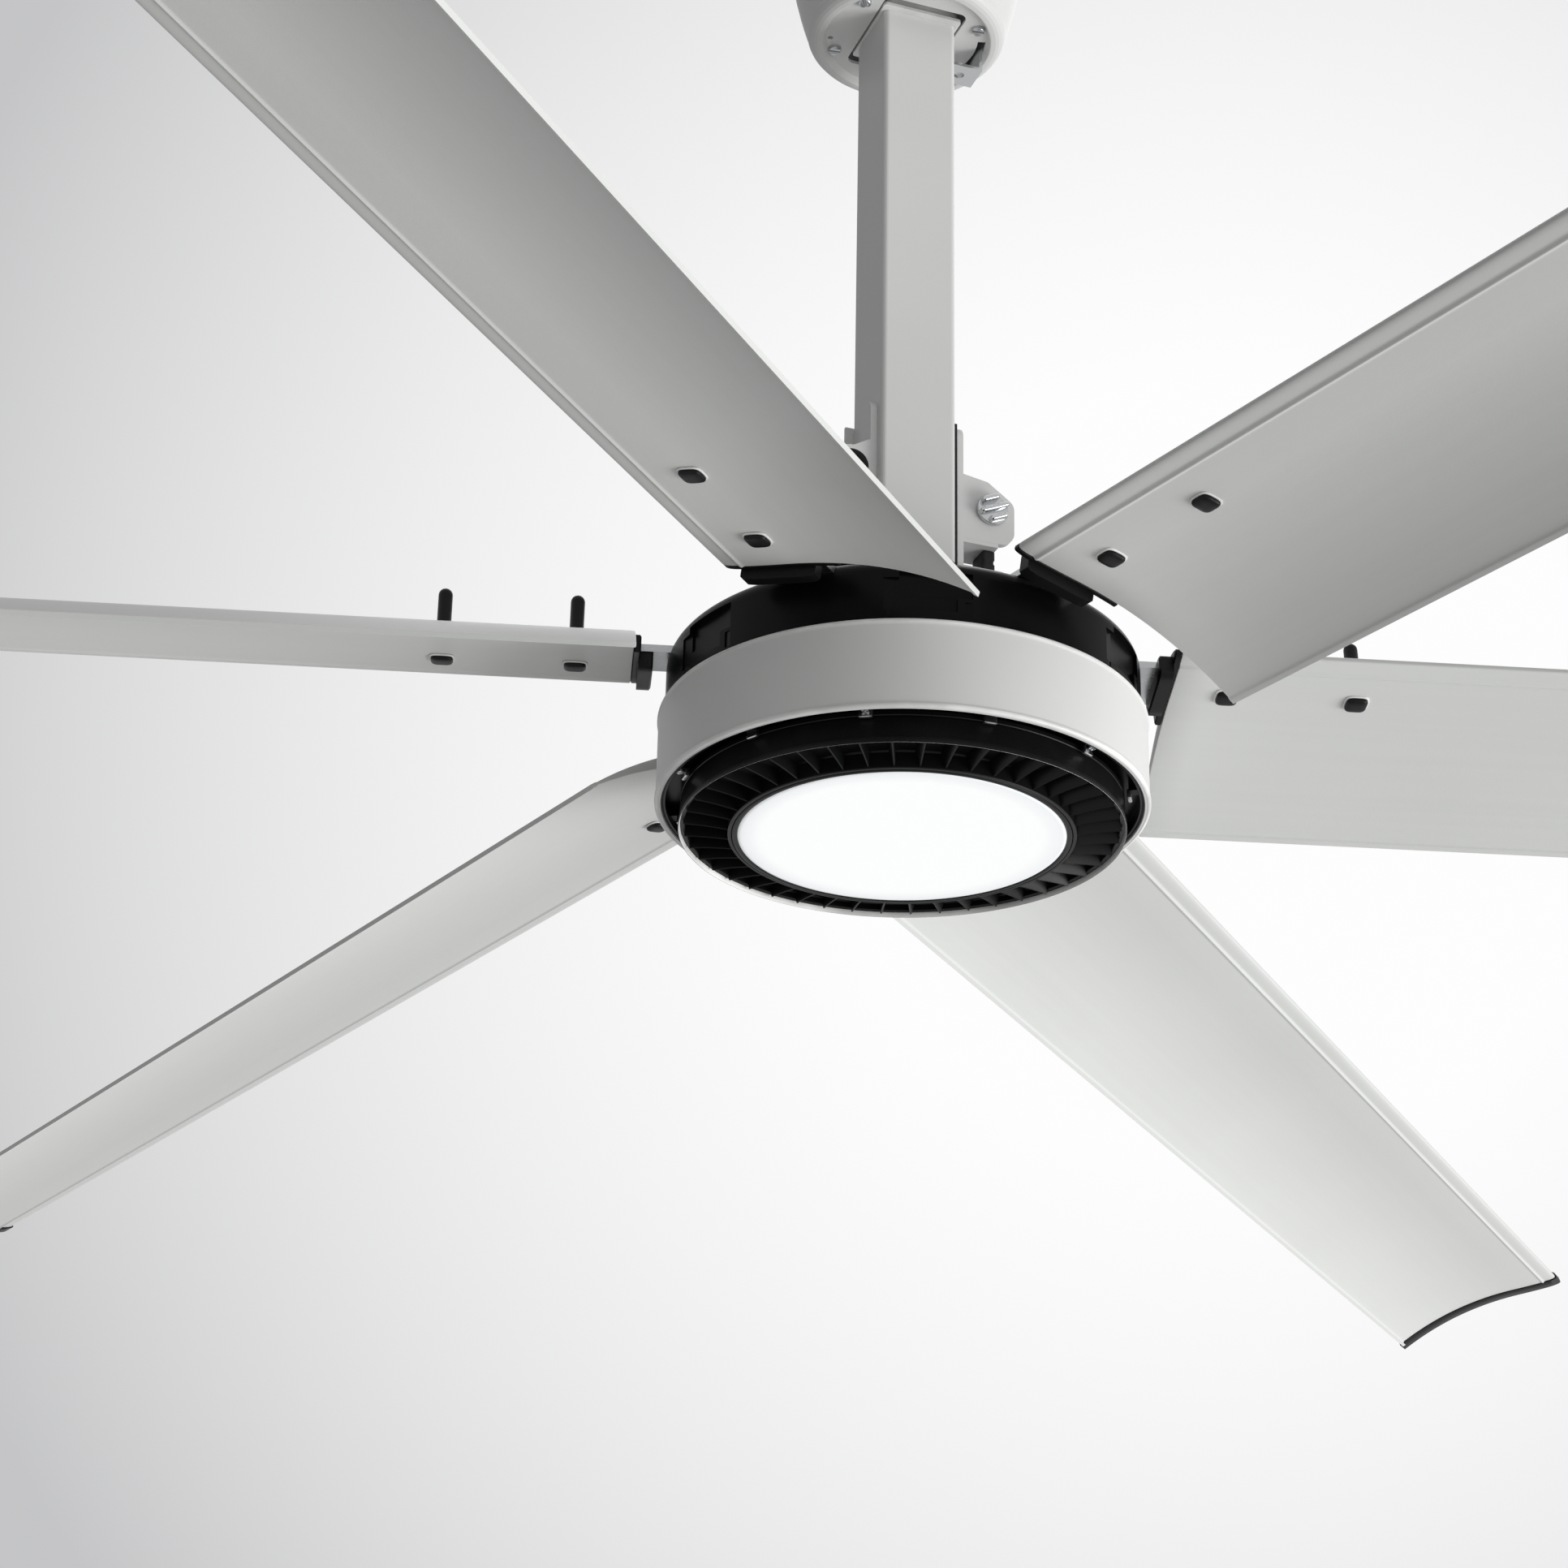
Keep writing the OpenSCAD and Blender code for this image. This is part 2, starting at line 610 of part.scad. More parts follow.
module shaft_coupling() color("#303236") {
    hub() difference() {
        union() {
            translate([0, 0, neck_z + 1]) cylinder(r = 19, h = hub_top_z - neck_z);
            translate([0, 0, hub_top_z]) linear_extrude(bar_t) polygon(round_rect(bar_len, bar_w, 6));
            translate([0, 0, hub_top_z + 1]) linear_extrude(bar_t + boss_h) polygon(round_rect(boss_w, boss_w, 2));
        }
        translate([0, 0, neck_z]) cylinder(r = shaft_r + run_fit, h = 58);
        translate([0, 0, neck_z]) cylinder(r = wire_r, h = 200);
        translate([0, 0, foot_z]) cross_hole(-tube_w, tube_w, cross_r + pin_fit);
        translate([0, 0, hub_top_z - eps]) at_foot_bolts() cylinder(r = cross_r + pin_fit, h = bar_t + 2 * eps);
    }
}

// Motor, the standing part

module hollow_shaft() color("silver") {
    hub() difference() {
        union() {
            translate([0, 0, trim_h + pin_fit]) cylinder(r = shaft_r, h = neck_z + 56 - trim_h);
            translate([0, 0, 6.5]) cylinder(r = 8, h = trim_h);
        }
        translate([0, 0, 6]) cylinder(r = wire_r, h = neck_z + 60);
    }
}

module stator_hub() color("darkgray") {
    low = low_bearing_z + bearing_w + pin_fit;
    hub() difference() {
        union() {
            translate([0, 0, low]) cylinder(r = 16, h = up_bearing_z - pin_fit - low);
            translate([0, 0, core_low]) cylinder(r = core_r, h = core_h);
            for (a = [0:120:240]) rotate(a) translate([core_r - 6, 0, core_low + core_h - eps])
                cylinder(r = 3, h = 12);
        }
        translate([0, 0, low - eps]) cylinder(r = shaft_r + run_fit, h = up_bearing_z - low + 2 * eps);
    }
}

// Ring of teeth, each with a wide foot that faces the magnets
module stator_core() color("slategray") {
    hub() translate([0, 0, core_low]) {
        ring(core_r + pin_fit, tooth_in, 0, core_h);
        for (i = [0:teeth_n - 1]) rotate(360 / teeth_n * i) {
            box([tooth_in - 2, -tooth_w / 2, 0], [slot_r + 1, tooth_w / 2, core_h]);
            intersection() {
                ring(slot_r, stator_r, 0, core_h);
                box([slot_r - 2, -PI * stator_r / teeth_n + 1.5, -eps],
                    [stator_r + 1, PI * stator_r / teeth_n - 1.5, core_h + eps]);
            }
        }
    }
}

module stator_coils() color("chocolate") {
    in_w = tooth_w + 2 * seat;
    out_w = in_w + 4.4;
    hub() translate([0, 0, core_low]) for (i = [0:teeth_n - 1]) rotate(360 / teeth_n * i)
        extrude_x(tooth_in + 1.5, slot_r - 1.5) difference() {
            translate([0, core_h / 2]) polygon(round_rect(out_w, core_h + 2 * coil_over - 2, 2));
            translate([-in_w / 2, -seat]) square([in_w, core_h + 2 * seat]);
        }
}

// Ring board that drives the motor, on three posts over the stator
module driver_board() color("darkgreen") {
    z = core_low + core_h - eps + 12 + pin_fit;
    hub() {
        ring(17, 62, z, z + 1.6);
        for (a = [20:40:340]) rotate(a) translate([50, 0, z + 1]) cylinder(r = 5, h = 11);
        for (a = [40:120:280]) rotate(a) box([24, -7, z + 1], [40, 7, z + 5]);
    }
}

module bearing_race(r0, r1, z) {
    groove = (bearing_r + shaft_r) / 2;
    hub() translate([0, 0, z]) difference() {
        ring(r0, r1, 0, bearing_w);
        translate([0, 0, bearing_w / 2]) rotate_extrude() translate([groove, 0]) circle(r = 3.3);
    }
}
race_gap = 2.6;
module bearing_inner(z) { bearing_race(shaft_r + run_fit, (bearing_r + shaft_r) / 2 - race_gap / 2, z); }
module bearing_outer(z) { bearing_race((bearing_r + shaft_r) / 2 + race_gap / 2, bearing_r, z); }
module lower_bearing_inner() color("silver") { bearing_inner(low_bearing_z); }
module upper_bearing_inner() color("silver") { bearing_inner(up_bearing_z); }
module lower_bearing_outer() color("silver") { bearing_outer(low_bearing_z); }
module upper_bearing_outer() color("silver") { bearing_outer(up_bearing_z); }

module bearing_balls() color("gainsboro") {
    hub() for (z = [low_bearing_z, up_bearing_z]) for (i = [0:balls_n - 1]) rotate(360 / balls_n * i)
        translate([(bearing_r + shaft_r) / 2, 0, z + bearing_w / 2]) sphere(r = 3.2);
}

module lamp_spacer() color("silver") {
    hub() ring(shaft_r + run_fit, 16, trim_h + pin_fit, low_bearing_z - pin_fit);
}

// Light

// Aluminium pan that backs the light and spreads its heat
module light_pan() color("#2c2d2f") {
    board_r = lens_r - 5;
    hub() difference() {
        union() {
            translate([0, 0, trim_h - 3]) cylinder(r = trim_r - 3 - seat, h = 3);
            translate([0, 0, trim_h - 5.2]) cylinder(r = board_r, h = 3);
        }
        translate([0, 0, trim_h - 6]) cylinder(r = 8 + run_fit, h = 10);
        at_light_screws() translate([0, 0, trim_h - 5]) cylinder(r = 1.7, h = 10);
    }
}
module at_light_screws() { for (a = [15:60:315]) rotate(a) translate([trim_r - 14, 0, 0]) children(); }

// Moulded front ring: a skirt, a trough of radial fins and the seat of the lens
module fin_ring() color("#1b1c1e") {
    in = lens_r + bezel_w + seat;
    trough = in + 2;
    out = trim_r - 3;
    shelf = 1 + lens_t + seat - lens_proud;
    hub() {
        rotate_extrude($fn = 128) polygon([[in - 7, shelf], [in - 7, shelf + 2],
            [in, shelf + 2], [in, fin_depth + 2], [out, fin_depth + 2], [out, trim_h],
            [trim_r - 0.8, trim_h], [trim_r - 0.8, 2], [trim_r - 1.6, 2], [trim_r - 1.6, 0], [out, 0],
            [out - 0.6, 0.6], [out - 0.6, fin_depth], [trough, fin_depth], [trough, 0.4 - lens_proud],
            [in, 0.4 - lens_proud], [in, shelf]]);
        at_light_screws() translate([0, 0, fin_depth + 1]) difference() {
            cylinder(r = 4, h = trim_h - 3 - fin_depth - 1 - pin_fit);
            translate([0, 0, 2]) cylinder(r = 1.5, h = 20);
        }
        for (i = [0:fins_n - 1]) rotate(360 / fins_n * i)
            translate([trough - 0.5, 0, fin_depth + 0.5]) rotate([18, 0, 0]) rotate([90, 0, 0])
                translate([0, 0, -fin_t / 2]) linear_extrude(fin_t) polygon([[0, 0.4],
                    [0, -fin_depth - lens_proud * 0.8], [out - trough, -fin_depth], [out - trough, 0.4]]);
    }
}

module trim_edge() color("white") {
    hub() ring(trim_r - 1.6 + run_fit, trim_r, -0.3, 1.9);
}

module lens_bezel() color("black") {
    hub() translate([0, 0, -lens_proud]) rotate_extrude($fn = 128) polygon([[lens_r, 0], [lens_r + bezel_w, 0],
        [lens_r + bezel_w, 1 + lens_t], [lens_r + bezel_w - 1.2, 1 + lens_t], [lens_r + bezel_w - 1.2, 0.8],
        [lens_r, 0.8]]);
}

module lens() color("white") {
    hub() translate([0, 0, 0.9 - lens_proud]) {
        cylinder(r = lens_r + bezel_w - 1.2 - pin_fit, h = lens_t, $fn = 128);
        translate([0, 0, -0.8]) cylinder(r = lens_r - pin_fit, h = 1, $fn = 128);
    }
}

module led_board() color("honeydew") {
    top = trim_h - 5.2 - pin_fit;
    hub() {
        ring(20, lens_r - 6, top - 1.6, top);
        for (r = [32:14:lens_r - 14]) for (i = [0:r / 4 - 1]) rotate(1440 / r * i)
            box([r - 1.6, -1.6, top - 2.3], [r + 1.6, 1.6, top - 1.5]);
    }
}

module light_screws() color("gainsboro") {
    hub() at_light_screws() translate([0, 0, trim_h + pin_fit]) {
        cylinder(r = 3, h = 1.8);
        translate([0, 0, -7]) cylinder(r = 1.4, h = 8);
    }
}

module shaft_nut() color("gainsboro") {
    hub() translate([0, 0, trim_h - 5.2 - pin_fit - 5]) difference() {
        hex(13, 5);
        translate([0, 0, -eps]) cylinder(r = 8 + pin_fit, h = 5 + 2 * eps);
    }
}

// Rotor

// Roof of the motor: shoulder, slope and neck, with a thick ring that holds the arms
module upper_cover() color("#151618") {
    in = rotor_r - cover_wall;
    top_r = rotor_r - shoulder_r;
    slope_end = neck_r + 5;
    hub() difference() {
        rotate_extrude($fn = 128) polygon(concat([[rotor_r, split_z]],
            arc(top_r, shoulder_z - shoulder_r, shoulder_r, 0, 64, 6),
            [[slope_end, roof_at(slope_end)]],
            [for (i = [1:4]) let (a = 90 * i / 4)
                [slope_end - 5 * sin(a), roof_at(slope_end) + (neck_z - 2 - roof_at(slope_end)) * (1 - cos(a))]],
            [[neck_r - 1, neck_z], [shaft_r + 1.5, neck_z], [shaft_r + 1.5, up_bearing_z + bearing_w + seat],
             [bearing_r + run_fit, up_bearing_z + bearing_w + seat], [bearing_r + run_fit, up_bearing_z - 2],
             [neck_r - 4, up_bearing_z - 2], [neck_r - 4, roof_at(neck_r - 4) - 9],
             [socket_in - 4, roof_at(socket_in - 4) - 5], [socket_in - 4, arm_ring_z], [in, arm_ring_z],
             [in, split_z]]));
        for (i = [1:blades]) rotate(rotor_turn + 360 / blades * (i - 1)) {
            translate([0, 0, arm_z]) rotate([-arm_pitch, 0, 0]) {
                box([socket_in, -arm_w / 2 - seat / 2, -arm_t / 2 - seat / 2],
                    [rotor_r + 5, arm_w / 2 + seat / 2, arm_t / 2 + seat / 2]);
                at_arm_screws() {
                    translate([0, 0, 4.4]) cylinder(r = 4.6, h = 20);
                    translate([0, 0, -7.5]) cylinder(r = 2.1, h = 20);
                }
            }
            rotate(360 / blades / 2) side_windows();
        }
        at_cover_screws() translate([0, 0, split_z - eps]) cylinder(r = 1.6, h = 15);
    }
}
module at_arm_screws() { for (y = [-9, 9]) translate([socket_in + 9, y, 0]) children(); }

// Stepped recesses in the cover's side between two arms, and a vent slot in the roof above
module side_windows() {
    box([rotor_r - 3, -24, split_z + 6], [rotor_r + 5, 14, shoulder_z - 12]);
    box([rotor_r - 4, -16, split_z + 14], [rotor_r + 5, 22, shoulder_z - 8]);
    for (y = [-22, 20]) box([rotor_r - 2, y - 2, split_z + 3], [rotor_r + 5, y + 2, split_z + 12]);
    for (r = [74, 84]) translate([r, 0, roof_at(r) - 2]) rotate([0, 26, 0])
        box([-1.5, -11, 0], [1.5, 11, 6]);
}

// Floor and skirt of the motor, with the tabs that show in the gap round the light
module lower_cover() color("#1d1e20") {
    in = rotor_r - cover_wall;
    hub() difference() {
        union() {
            rotate_extrude($fn = 128) polygon([[rotor_r, drum_low + 1], [rotor_r, split_z - seat],
                [in, split_z - seat], [in, floor_z + floor_t], [bearing_r + 7, floor_z + floor_t],
                [bearing_r + 5, low_bearing_z + bearing_w + 2], [bearing_r + run_fit, low_bearing_z + bearing_w + 2],
                [bearing_r + run_fit, low_bearing_z - seat], [17.5, low_bearing_z - seat], [17.5, floor_z],
                [skirt_in, floor_z], [skirt_in, drum_low + 1]]);
            for (i = [0:11]) rotate(rotor_turn + 15 + 30 * i)
                box([screw_ring - 3.4, -3.5, tab_z], [skirt_in + 0.2, 3.5, floor_z + 1]);
        }
        at_cover_screws() translate([0, 0, tab_z - eps]) cylinder(r = 1.6, h = drum_h);
    }
}

module cover_screws() color("gainsboro") {
    hub() at_cover_screws() translate([0, 0, tab_z - pin_fit]) {
        translate([0, 0, -1.8]) cylinder(r = 2.1, h = 1.8);
        translate([0, 0, -0.2]) cylinder(r = 1.5, h = split_z + 12 - tab_z);
    }
}
module at_cover_screws() {
    for (i = [0:5]) rotate(rotor_turn + 15 + 60 * i) translate([screw_ring, 0, 0]) children();
}

module drum_band() color("whitesmoke") {
    r0 = drum_r - drum_t;
    top = drum_low + drum_h;
    hub() rotate_extrude($fn = 128) polygon(concat(
        arc(drum_r - bead_r, drum_low + bead_r, 1.5 * bead_r, -90, 45, 6),
        [[drum_r, drum_low + 2.4 * bead_r], [drum_r, top - 2.4 * bead_r]],
        arc(drum_r - bead_r, top - bead_r, 1.5 * bead_r, -45, 90, 6),
        [[r0, top + bead_r / 2], [r0, drum_low - bead_r / 2]]));
}

module magnet_ring() color("dimgray") {
    hub() ring(ring_r - ring_t, ring_r, floor_z + floor_t + pin_fit, arm_ring_z - pin_fit);
}

module magnets() color("darkslategray") {
    w = PI * magnet_r / magnets_n - 0.8;
    hub() for (i = [0:magnets_n - 1]) rotate(360 / magnets_n * i) intersection() {
        ring(magnet_r - magnet_t, magnet_r, core_low - 2, core_low + core_h + 2);
        box([magnet_r - magnet_t - 5, -w, core_low - 3], [magnet_r + 1, w, core_low + core_h + 3]);
    }
}

module blade_arms() color("gainsboro") {
    each_blade() difference() {
        box([socket_in + 0.2, -arm_w / 2, -arm_t / 2], [root_r + bolt_in + bolt_step + 10, arm_w / 2, arm_t / 2]);
        at_arm_screws() translate([0, 0, -through]) cylinder(r = 2.1, h = 2 * through);
        at_bolts() translate([0, 0, -through]) cylinder(r = blade_bolt_r + pin_fit, h = 2 * through);
    }
}

module arm_screws() color("silver") {
    each_blade() at_arm_screws() {
        translate([0, 0, 4.5]) cylinder(r = 4.2, h = 2.6);
        translate([0, 0, -7]) cylinder(r = 2, h = 12);
    }
}

// Hollow aluminium section, cut square at the root
module blade(i) color("whitesmoke") {
    blade_frame(i) difference() {
        extrude_x(root_r, tip_r - tip_cap_t - pin_fit) blade_outline(0, 1, 0);
        extrude_x(root_r - eps, tip_r) blade_outline(cavity_u[0], cavity_u[1], -blade_wall);
        extrude_x(root_r - eps, tip_r) blade_outline(tail_cavity_u[0], tail_cavity_u[1], -blade_wall);
        at_bolts() translate([0, 0, -through]) cylinder(r = blade_bolt_r + pin_fit, h = 2 * through);
    }
}

// Black plugs that close a blade's root end: one wraps the arm and stands out under it as a block
module root_inserts() color("#18191b") {
    end = root_r + bolt_in + bolt_step + 14;
    each_blade() extrude_x(root_r + 0.5, root_r + 12)
        blade_outline(tail_cavity_u[0] + 0.003, tail_cavity_u[1] - 0.003, -blade_wall - 0.15);
    each_blade() difference() {
        union() {
            extrude_x(root_r - plug_t, root_r - pin_fit) blade_outline(0, cavity_u[1], 0);
            extrude_x(root_r - 1, end) blade_outline(cavity_u[0] + 0.003, cavity_u[1] - 0.003, -blade_wall - 0.15);
            box([root_r - plug_block, -arm_w / 2 - 8, -arm_t / 2 - 7.5],
                [root_r - plug_t + 1, arm_w / 2 - 4, arm_t / 2]);
        }
        box([root_r - 20, -arm_w / 2 - 0.15, -arm_t / 2 - 0.15],
            [root_r + bolt_in + bolt_step + 10.2, arm_w / 2 + 0.15, arm_t / 2 + 0.15]);
        at_bolts() translate([0, 0, -through]) cylinder(r = blade_bolt_r + pin_fit, h = 2 * through);
    }
}

module tip_caps() color("#18191b") {
    each_blade() union() {
        extrude_x(tip_r - tip_cap_t, tip_r) blade_outline(0, 1, 0.7);
        extrude_x(tip_r - tip_cap_t - 18, tip_r - 1)
            blade_outline(cavity_u[0] + 0.003, cavity_u[1] - 0.003, -blade_wall - 0.15);
    }
}

// Bolts with rounded square heads under the blade
module blade_bolts() color("#18191b") {
    low = -blade_t / 2 - 0.2;
    each_blade() at_bolts() {
        translate([0, 0, low - 3.5]) linear_extrude(3.5) polygon(round_rect(bolt_head, bolt_head, bolt_head / 3));
        translate([0, 0, low - 1]) cylinder(r = blade_bolt_r, h = blade_t + cap_h - 4);
    }
}

// Black caps over the bolts' ends on top of the blade
module bolt_caps() color("#18191b") {
    up = blade_t / 2 + 0.1;
    each_blade() at_bolts() translate([0, 0, up]) difference() {
        union() {
            cylinder(r = blade_bolt_r + 1.2, h = cap_h - 2);
            cylinder(r = blade_bolt_r + 3.5, h = 2);
            translate([0, 0, cap_h - 2]) cylinder(r = blade_bolt_r + 0.7, h = 1.2);
        }
        translate([0, 0, -eps]) cylinder(r = blade_bolt_r + run_fit, h = cap_h - 3);
    }
}

ceiling_bracket();
hanger_bolt();
hanger_nut();
canopy();
canopy_studs();
canopy_screws();
safety_strap();
terminal_block();
drop_tube();
hanger_bushes();
rod_collar();
hook_bracket();
ear_bracket();
tongue_pads();
eye_bush();
cross_bolt();
yoke_nuts();
clamp_knob();
foot_bolts();
buffer_blocks();
shaft_coupling();
hollow_shaft();
stator_hub();
stator_core();
stator_coils();
driver_board();
lower_bearing_inner();
upper_bearing_inner();
lamp_spacer();
light_pan();
fin_ring();
trim_edge();
lens_bezel();
lens();
led_board();
light_screws();
shaft_nut();
upper_cover();
lower_cover();
drum_band();
magnet_ring();
magnets();
lower_bearing_outer();
upper_bearing_outer();
bearing_balls();
cover_screws();
blade_arms();
arm_screws();
root_inserts();
tip_caps();
blade_bolts();
bolt_caps();
blade(1);  // blade_1
blade(2);  // blade_2
blade(3);  // blade_3
blade(4);  // blade_4
blade(5);  // blade_5
blade(6);  // blade_6
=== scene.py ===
"""Industrial ceiling fan: the surfaces, finishes and studio that go round its measured frame."""

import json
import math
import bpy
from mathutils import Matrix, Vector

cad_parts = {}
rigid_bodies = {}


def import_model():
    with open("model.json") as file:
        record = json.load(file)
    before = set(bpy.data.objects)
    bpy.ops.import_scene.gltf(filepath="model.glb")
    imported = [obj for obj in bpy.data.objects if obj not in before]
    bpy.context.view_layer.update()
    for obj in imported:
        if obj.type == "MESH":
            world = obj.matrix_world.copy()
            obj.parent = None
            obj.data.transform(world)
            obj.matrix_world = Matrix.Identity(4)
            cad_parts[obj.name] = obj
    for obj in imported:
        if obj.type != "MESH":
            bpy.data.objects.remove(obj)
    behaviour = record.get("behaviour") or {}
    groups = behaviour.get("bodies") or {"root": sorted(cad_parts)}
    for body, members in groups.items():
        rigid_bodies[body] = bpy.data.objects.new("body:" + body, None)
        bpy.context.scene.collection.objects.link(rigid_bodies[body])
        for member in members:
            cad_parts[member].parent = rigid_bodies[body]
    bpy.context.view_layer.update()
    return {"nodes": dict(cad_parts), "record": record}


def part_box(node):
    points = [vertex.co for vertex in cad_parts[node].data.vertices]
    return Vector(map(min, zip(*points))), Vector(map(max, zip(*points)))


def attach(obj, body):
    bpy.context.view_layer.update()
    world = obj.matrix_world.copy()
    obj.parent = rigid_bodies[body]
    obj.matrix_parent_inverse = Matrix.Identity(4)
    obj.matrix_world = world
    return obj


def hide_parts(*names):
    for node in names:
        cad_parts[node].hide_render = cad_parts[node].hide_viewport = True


bl_info = {
    "name": "Industrial Ceiling Fan",
    "version": (1, 0, 0),
    "blender": (4, 5, 0),
    "location": "3D View > Sidebar > Ceiling Fan",
    "description": "Builds the blades, drum, light, hardware and finishes of a large ceiling fan",
    "category": "Add Mesh",
}

import bpy
import numpy as np
from bpy.props import FloatProperty, FloatVectorProperty, IntProperty, PointerProperty
from bpy.types import Operator, Panel, PropertyGroup

for start_object in list(bpy.data.objects):
    bpy.data.objects.remove(start_object)
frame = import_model()
MM = 0.001
TAU = 2 * math.pi
EDGE_DROP = 0.3 * MM  # the light's white edge reaches this far below the light's face
FACE_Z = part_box("trim_edge")[0].z + EDGE_DROP
FOOT_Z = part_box("drop_tube")[0].z
GAP = 0.1 * MM  # room between a piece and what it stands on
DRUM_STEPS = 240
LIGHT_STEPS = 220


def size(name, description, default, digits=4):
    """A length in metres that a user may change."""
    return FloatProperty(name=name, description=description, default=default, precision=digits,
                         unit="LENGTH", subtype="DISTANCE")


def angle(name, description, degrees):
    """An angle, kept in radians and shown in degrees."""
    return FloatProperty(name=name, description=description, default=math.radians(degrees),
                         unit="ROTATION", subtype="ANGLE")


def share(name, description, default, high=1.0):
    """A plain number, such as a roughness or a share of a width."""
    return FloatProperty(name=name, description=description, default=default, min=0.0, soft_max=high)


def colour(name, description, default):
    """A linear colour of three parts."""
    return FloatVectorProperty(name=name, description=description, default=default, size=3,
                               min=0.0, max=1.0, subtype="COLOR")


def spot(name, description, default):
    """A place in metres."""
    return FloatVectorProperty(name=name, description=description, default=default, size=3,
                               unit="LENGTH", subtype="TRANSLATION")


class FanBladeSizes(PropertyGroup):
    """Sizes of one blade, as the frame has them, and of the beads that run along it."""

    root_r: size("Root radius", "Radius at which the blade starts", 0.148)
    tip_r: size("Tip radius", "Radius of the circle that the blade tips sweep", 1.372)
    cap_length: size("Tip cap", "Length of the black cap on the tip", 0.010)
    cap_sleeve: size("Tip sleeve", "Length of the cap with the sleeve that slips over the blade", 0.018)
    chord: size("Width", "Width from nose to tail", 0.150)
    thickness: size("Thickness", "Largest thickness", 0.012)
    tail: size("Tail", "Thickness of the tail edge", 0.0016)
    camber: size("Arch", "Height of the arched middle line", 0.012)
    pitch: angle("Pitch", "Angle of the blade to the horizontal", 18.6)
    first_turn: angle("First blade", "Turn of the first blade at rest", 44.2)
    arm_share: share("Arm place", "Share of the width at which the arm's middle lies", 0.233)
    thick_share: share("Thickest place", "Share of the width at which the blade is thickest", 0.22)
    cavity_end: share("Nose hollow", "Share of the width at which the hollow of the nose ends", 0.44)
    web_end: share("Tail hollow", "Share of the width at which the hollow behind the web starts", 0.47)
    tail_plug_end: share("Tail plug", "Share of the width at which the tail's plug ends", 0.8)
    plug_out: size("Root plug", "Length of the black plug that shows at the root", 0.004)
    block_out: size("Plug block", "Length of the block that the plug has under the arm", 0.011)
    arm_z: size("Arm height", "Height of the arms above the face of the light", 0.0975)
    ridge_in: size("Ridge", "Distance of the bead under the blade from its nose", 0.0115)
    ridge_h: size("Ridge height", "Height of that bead", 0.0010, 5)
    ridge_w: size("Ridge width", "Width of that bead", 0.0012, 5)
    rim_w: size("Tail rim", "Width of the thicker rim along the tail", 0.0032, 5)
    rim_h: size("Tail rim height", "Height by which that rim stands out below", 0.0008, 5)
    bolt_in: size("First bolt", "First bolt, from the root end", 0.031)
    bolt_step: size("Bolt step", "Distance between the two bolts", 0.072)
    bolt_head: size("Bolt head", "Width of a bolt's rounded square head", 0.012)
    cap_rise: size("Bolt cap", "Height of the capped bolt end above the blade", 0.028)
    count: IntProperty(name="Blades", description="Number of blades", default=6, min=2, max=8)


class FanDrumSizes(PropertyGroup):
    """Sizes of the drum band and of the light under it, above the face of the light."""

    radius: size("Drum radius", "Outer radius of the white band", 0.1325)
    height: size("Drum height", "Height of the band", 0.0485)
    low: size("Drum rim", "Height of the band's lower rim", 0.014)
    wall: size("Drum wall", "Thickness of the band", 0.003)
    bead: size("Rim bead", "Radius of the bead round both rims", 0.0011, 5)
    lens_r: size("Lens radius", "Radius of the lens that shows", 0.088)
    lens_t: size("Lens thickness", "Thickness of the lens", 0.0025)
    bezel_w: size("Bezel", "Width of the bezel round the lens", 0.003)
    proud: size("Lens stand", "Height by which the lens stands out of the light's edge", 0.003)
    trim_r: size("Trim radius", "Outer radius of the light", 0.120)
    trim_h: size("Trim height", "Height of the light's skirt", 0.018)
    fin_depth: size("Trough", "Depth of the finned trough", 0.007)
    fin_t: size("Fin", "Thickness of a fin", 0.0014, 5)
    fins: IntProperty(name="Fins", description="Number of fins in the trough", default=44, min=12, max=90)
    lugs: IntProperty(name="Lugs", description="Number of lugs round the light", default=12, min=3, max=36)


